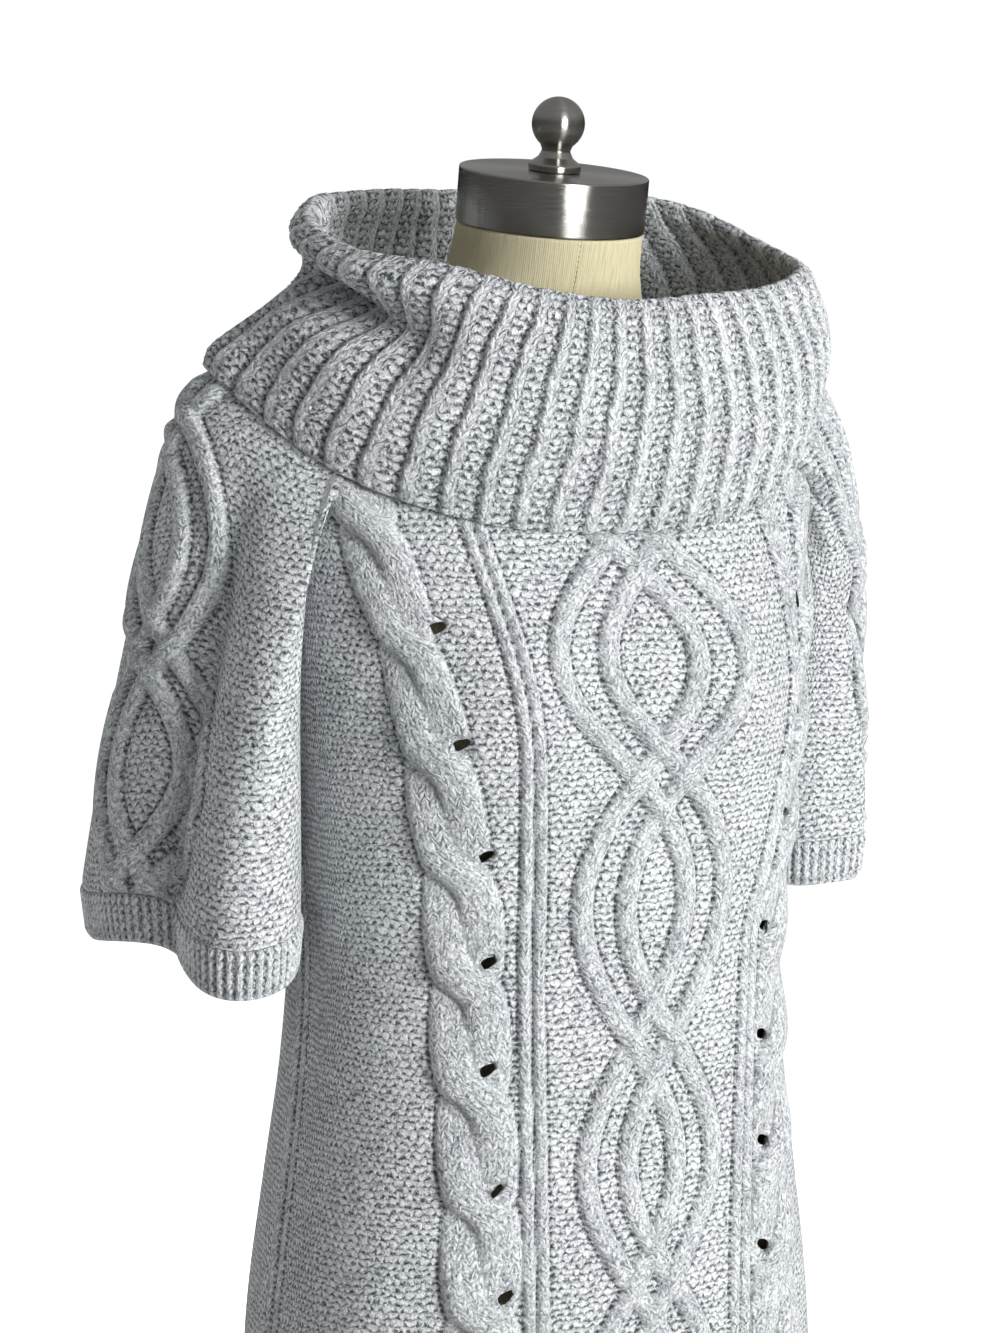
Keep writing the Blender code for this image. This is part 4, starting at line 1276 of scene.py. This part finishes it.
def make_torso(columns):
    """The torso: rings packed closer up the shoulders and neck, closed by a fan at each end."""
    heights = np.concatenate([np.linspace(form_bottom, 1.30, 74)[:-1], np.linspace(1.30, 1.40, 34)[:-1],
                              np.linspace(1.40, neck_top, 46)])
    many = np.linspace(-180, 180, 6001)
    line = torso_point(many, np.full(6001, 1.2))
    along = length_along(line[None], 1)[0]
    angles = np.interp(np.arange(columns) / columns * along[-1], along, many)
    angle, height = np.meshgrid(angles, heights)
    points = torso_point(angle, height)
    around = length_along(np.concatenate([points, points[:, :1]], axis=1), 1)
    around = around - around[:, columns // 2][:, None]
    up = length_along(points[:, columns // 2][:, None], 0)
    wide_map = np.stack([around, np.repeat(up, columns + 1, axis=1)], axis=-1)
    seam_turn = -9.0 * ease(heights, 1.40, 1.46)
    flat_at = np.array([np.interp(seam_turn[row], angles, around[row, :-1]) for row in range(len(heights))])
    half_round = around[:, -1:] - around[:, :1]
    from_front = around[:, :-1] - flat_at[:, None]
    from_back = np.minimum(around[:, :-1] - around[:, :1], around[:, -1:] - around[:, :-1])
    from_side = np.abs(np.abs(from_front) - half_round / 4)
    nearest = np.minimum(np.minimum(np.abs(from_front), from_back), from_side)
    corners, sizes, maps, low = capped(len(heights), columns)
    ends = np.stack([points[0].mean(axis=0), points[-1].mean(axis=0)])
    flat_map = wide_map.reshape(-1, 2)
    end_map = np.concatenate([points[0][:, :2][low[:, :2].ravel() % columns].reshape(-1, 2, 2),
                              np.zeros((columns, 1, 2))], axis=1).reshape(-1, 2)
    corner_uv = np.concatenate([flat_map[maps.reshape(-1)], end_map, end_map])
    made = make_piece("form_linen_cover", np.concatenate([points.reshape(-1, 3), ends]), corners, sizes,
                      linen, corner_uv, {"seam": np.append(nearest.ravel(), [1, 1])})
    return settle(made, "form_torso")


make_torso(168)


# %% Steel and enamel
def brushed_steel(name, colour, roughness, stretch, turned):
    """Fine scratches as squeezed noise. Steel brushed one way spreads a highlight the other way."""
    made, tree, shader = plain_material(name, roughness, 1.0)
    place = tree.nodes.new("ShaderNodeTexCoord").outputs["Object"]
    squeeze = tree.nodes.new("ShaderNodeMapping")
    squeeze.inputs["Scale"].default_value = stretch
    tree.links.new(place, squeeze.inputs["Vector"])
    calc = calculator(tree)
    scratch = noise(tree, squeeze.outputs["Vector"], 1.0, 4.0)
    cloud = calc("MULTIPLY", off_middle(tree, place, 60.0, 2.0), 0.2)
    tone = calc("ADD", calc("MULTIPLY_ADD", scratch, 0.75, 0.12), cloud)
    dark = tuple(0.62 * part for part in colour)
    tree.links.new(blend_colours(tree, tone, [(0.2, dark), (0.8, colour)]), shader.inputs["Base Color"])
    tree.links.new(calc("MULTIPLY_ADD", scratch, 0.22, roughness - 0.08), shader.inputs["Roughness"])
    add_bump(tree, shader, scratch, 0.00008, 0.8)
    shader.inputs["Anisotropic"].default_value = 0.9
    shader.inputs["Anisotropic Rotation"].default_value = turned
    round_axis = tree.nodes.new("ShaderNodeTangent")
    round_axis.direction_type = "RADIAL"
    round_axis.axis = "Z"
    tree.links.new(round_axis.outputs["Tangent"], shader.inputs["Tangent"])
    return made


def enamel(name, colour):
    """Stoved paint: a slight orange-peel bump and a soft gloss."""
    made, tree, shader = plain_material(name, 0.38)
    place = tree.nodes.new("ShaderNodeTexCoord").outputs["Object"]
    calc = calculator(tree)
    peel = noise(tree, place, 420.0, 2.0)
    dust = noise(tree, place, 9.0, 4.0)
    light = tuple(part * 1.6 for part in colour)
    tree.links.new(blend_colours(tree, dust, [(0.3, colour), (0.8, light)]), shader.inputs["Base Color"])
    tree.links.new(calc("MULTIPLY_ADD", dust, 0.20, 0.30), shader.inputs["Roughness"])
    add_bump(tree, shader, peel, 0.0001, 0.5)
    return made


steel = brushed_steel("brushed_steel_cap", (0.43, 0.415, 0.385), 0.20, (60, 60, 2600), 0.25)
pole_steel = brushed_steel("brushed_steel_pole", (0.60, 0.60, 0.60), 0.34, (900, 900, 30), 0.0)
black_enamel = enamel("black_enamel", (0.018, 0.018, 0.020))
print("metals:", steel.name, pole_steel.name, black_enamel.name)


# %% Turned pieces
def rounded_profile(corners, radius, steps=4):
    """A profile of (distance, height) corners, with each inner corner cut by an arc's points."""
    corners = np.array(corners, float)
    line = [corners[0]]
    for before, corner, after in zip(corners[:-2], corners[1:-1], corners[2:]):
        cut = min(radius, np.linalg.norm(before - corner) * 0.45, np.linalg.norm(after - corner) * 0.45)
        start = corner + unit(before - corner) * cut
        end = corner + unit(after - corner) * cut
        t = np.linspace(0, 1, steps + 1)[:, None]
        line.extend((1 - t)**2 * start + 2 * (1 - t) * t * corner + t**2 * end)
    line.append(corners[-1])
    return np.array(line)


def make_turned(name, node, profile, columns, finish, middle=(0, 0, 0), lean=0.0):
    """A profile carried round an axis that leans forward, with a pole point at each end."""
    turn = np.radians(np.arange(columns) * 360 / columns)[None]
    body = profile[1:-1]
    ring = np.stack([body[:, :1] * np.sin(turn), -body[:, :1] * np.cos(turn),
                     body[:, 1:] + 0 * turn], axis=-1)
    poles = np.array([[0, 0, profile[0][1]], [0, 0, profile[-1][1]]])
    tilt = math.radians(lean)
    spin = np.array([[1, 0, 0], [0, math.cos(tilt), -math.sin(tilt)],
                     [0, math.sin(tilt), math.cos(tilt)]])
    ring = ring @ spin.T + np.array(middle)
    poles = poles @ spin.T + np.array(middle)
    corners, sizes, _, _ = capped(len(body), columns)
    made = make_piece(name, np.concatenate([ring.reshape(-1, 3), poles]), corners, sizes, finish)
    made.data.set_sharp_from_angle(angle=math.radians(40))
    return settle(made, node)


tilt = math.radians(neck_lean)
up_neck = np.array([0, -math.sin(tilt), math.cos(tilt)])
cap_foot = np.array([0, neck_forward, neck_top]) + seam * up_neck
make_turned(
    "neck_cap_steel", "neck_cap",
    rounded_profile([(0, 0), (cap_radius, 0), (cap_radius, cap_height), (0, cap_height)], 0.0014),
    128, steel, cap_foot, neck_lean)
knob_middle = 0.028
ball = [(finial_radius * math.cos(turn), knob_middle + finial_radius * math.sin(turn))
        for turn in np.radians(np.linspace(-52, 88, 24))]
make_turned(
    "finial_steel", "finial",
    np.concatenate([rounded_profile([(0, 0), (finial_radius, 0), (finial_radius, 0.004), (0.0105, 0.008),
                                     (0.0085, 0.012), ball[0]], 0.0008)[:-1],
                    ball, [(0, knob_middle + finial_radius)]]),
    64, steel, cap_foot + (cap_height + seam) * up_neck, neck_lean)
pole_top = form_bottom - seam
make_turned(
    "stand_pole_steel", "stand_pole",
    rounded_profile([(0, base_thickness + seam), (pole_radius, base_thickness + seam),
                     (pole_radius, pole_top), (0, pole_top)], 0.0008),
    64, pole_steel)
make_turned(
    "stand_base_enamel", "stand_base",
    rounded_profile([(0, 0), (base_radius, 0), (base_radius, base_thickness * 0.7),
                     (base_radius - 0.006, base_thickness), (0, base_thickness)], 0.0016),
    160, black_enamel)

# %% [markdown]
# ## Cloth facts
#
# A cutter needs to know how much cloth a piece takes. Its mesh can't say, since worn knit is stretched:
# the size a piece is cut or knitted to is the worn surface less its stretch. The pieces above print
# only their worn sizes, and on a tube the width goes all round.

print("cloth pieces: 7")

# %% [markdown]
# ## Studio
#
# The dress stands on a pale floor in a room that looks white but gives little light. A large key light
# at the front right lets folds and cables fall into soft shade on the left, where a weak fill light
# keeps them readable. A broad light behind lifts the back. Brushed steel would mirror these lamps as
# pale squares, so they are left out of reflections, and a strip light that is seen in reflections alone
# gives the cap its highlight.

# %% Where the lamps stand
view_turn = math.radians(-28)
ahead = np.array([-math.sin(view_turn), math.cos(view_turn), 0])
rightward = np.array([math.cos(view_turn), math.sin(view_turn), 0])
view_axes = np.stack([rightward, ahead, [0, 0, 1]])
LAMPS = {
    "key": dict(side=(0.76, -0.64, 0.14), away=2.6, height=1.2, aim=1.15, size=1.1, power=66),
    "fill": dict(side=(-1.0, 0.22, 0.12), away=2.4, height=1.2, aim=1.15, size=1.2, power=13),
    "strip": dict(side=(0.46, -0.88, 0.10), away=2.6, height=1.2, aim=1.3, size=0.9, power=62),
    "rear": dict(side=(-0.12, 1.0, 0.22), away=2.8, height=1.1, aim=1.05, size=1.8, power=62),
}
key_side = tuple(unit(LAMPS["key"]["side"] @ view_axes))
print("the key light lies towards", np.round(key_side, 2))


# %% Floor
def make_floor(size):
    """A wide pale square floor, which looks nearly as white as the room."""
    made, tree, shader = plain_material("pale_floor", 0.9)
    shader.inputs["Base Color"].default_value = (0.60, 0.60, 0.60, 1)
    shader.inputs["Specular IOR Level"].default_value = 0.0
    shader.inputs["Emission Color"].default_value = (1, 1, 1, 1)
    camera_ray = tree.nodes.new("ShaderNodeLightPath").outputs["Is Camera Ray"]
    tree.links.new(calculator(tree)("MULTIPLY", camera_ray, 0.95), shader.inputs["Emission Strength"])
    points = np.array([(-1, -1, 0), (1, -1, 0), (1, 1, 0), (-1, 1, 0)]) * size / 2
    mesh = bpy.data.meshes.new("studio_floor")
    mesh.from_pydata(points.tolist(), [], [(0, 1, 2, 3)])
    mesh.materials.append(made)
    floor = bpy.data.objects.new("studio_floor", mesh)
    bpy.context.scene.collection.objects.link(floor)
    print("floor: %.0f m wide" % size)


make_floor(120.0)


# %% Room
def make_room(seen, toward, bright, dim):
    """A room that looks white and lights the piece from one side: dim + (bright - dim) facing^3.4.
    Steel sees a darker room with a pale ceiling, as a real studio's are."""
    world = bpy.data.worlds.new("studio_room")
    bpy.context.scene.world = world
    world.use_nodes = True
    tree = world.node_tree
    calc = calculator(tree)
    direction = tree.nodes.new("ShaderNodeTexCoord").outputs["Generated"]
    dot = tree.nodes.new("ShaderNodeVectorMath")
    dot.operation = "DOT_PRODUCT"
    dot.inputs[1].default_value = toward
    tree.links.new(direction, dot.inputs[0])
    side = calc("MULTIPLY_ADD", dot.outputs["Value"], 0.5, 0.5)
    light = calc("MULTIPLY_ADD", calc("POWER", side, 3.4), bright - dim, dim)
    rays = tree.nodes.new("ShaderNodeLightPath")
    camera_ray = rays.outputs["Is Camera Ray"]
    axes = tree.nodes.new("ShaderNodeSeparateXYZ")
    tree.links.new(direction, axes.inputs[0])
    ceiling = calc("MULTIPLY", calc("MULTIPLY_ADD", axes.outputs[2], 5.0, -0.45, clamp=True), 0.34)
    glossy = rays.outputs["Is Glossy Ray"]
    light = calc("MULTIPLY_ADD", glossy, calc("MULTIPLY_ADD", light, -0.8, ceiling), light)
    mixed = calc("ADD", calc("MULTIPLY", camera_ray, seen),
                 calc("MULTIPLY", calc("SUBTRACT", 1.0, camera_ray), light))
    tree.nodes["Background"].inputs["Color"].default_value = (1, 1, 1, 1)
    tree.links.new(mixed, tree.nodes["Background"].inputs["Strength"])


make_room(seen=1.0, toward=key_side, bright=1.10, dim=0.05)
print("room:", bpy.context.scene.world.name)


# %% Lights
def soft_light(name, side, away, height, aim, size, power):
    """A square area light. side is its direction as parts to the right, ahead and up, away its
    distance from the axis at a height, and aim the height on the axis that it faces."""
    data = bpy.data.lights.new(name, "AREA")
    data.shape = "SQUARE"
    data.size = size
    data.energy = power
    made = bpy.data.objects.new(name, data)
    place = np.array([0, 0, height]) + unit(side @ view_axes) * away
    made.location = place
    direction = place - np.array([0, 0, aim])
    made.rotation_euler = (math.atan2(math.hypot(direction[0], direction[1]), direction[2]), 0,
                           math.atan2(direction[0], -direction[1]))
    bpy.context.scene.collection.objects.link(made)
    return made


for lamp, values in LAMPS.items():
    light = soft_light(lamp + "_light", **values)
    light.visible_glossy = lamp == "strip"
    light.visible_diffuse = lamp != "strip"
    print(lamp, "light at", np.round(light.location, 2))

# %% Camera
scene = bpy.context.scene
camera_data = bpy.data.cameras.new("camera")
camera_data.sensor_fit = "VERTICAL"
camera_data.sensor_height = 24.0
camera_data.sensor_width = 18.0
camera_data.lens = 50.4126
camera = bpy.data.objects.new("camera", camera_data)
scene.collection.objects.link(camera)
scene.camera = camera
camera_away = 1.736
camera_height = 1.45
camera_down = math.radians(7.6)
camera_aside = math.radians(0.67524)
camera.location = tuple(-ahead * camera_away + np.array([0, 0, camera_height]))
level = ahead * math.cos(camera_aside) - rightward * math.sin(camera_aside)
camera.rotation_euler = (math.pi / 2 - camera_down, 0, math.atan2(-level[0], level[1]))
scene.view_settings.view_transform = "Standard"
scene.view_settings.look = "None"
print("camera at", np.round(camera.location, 3))
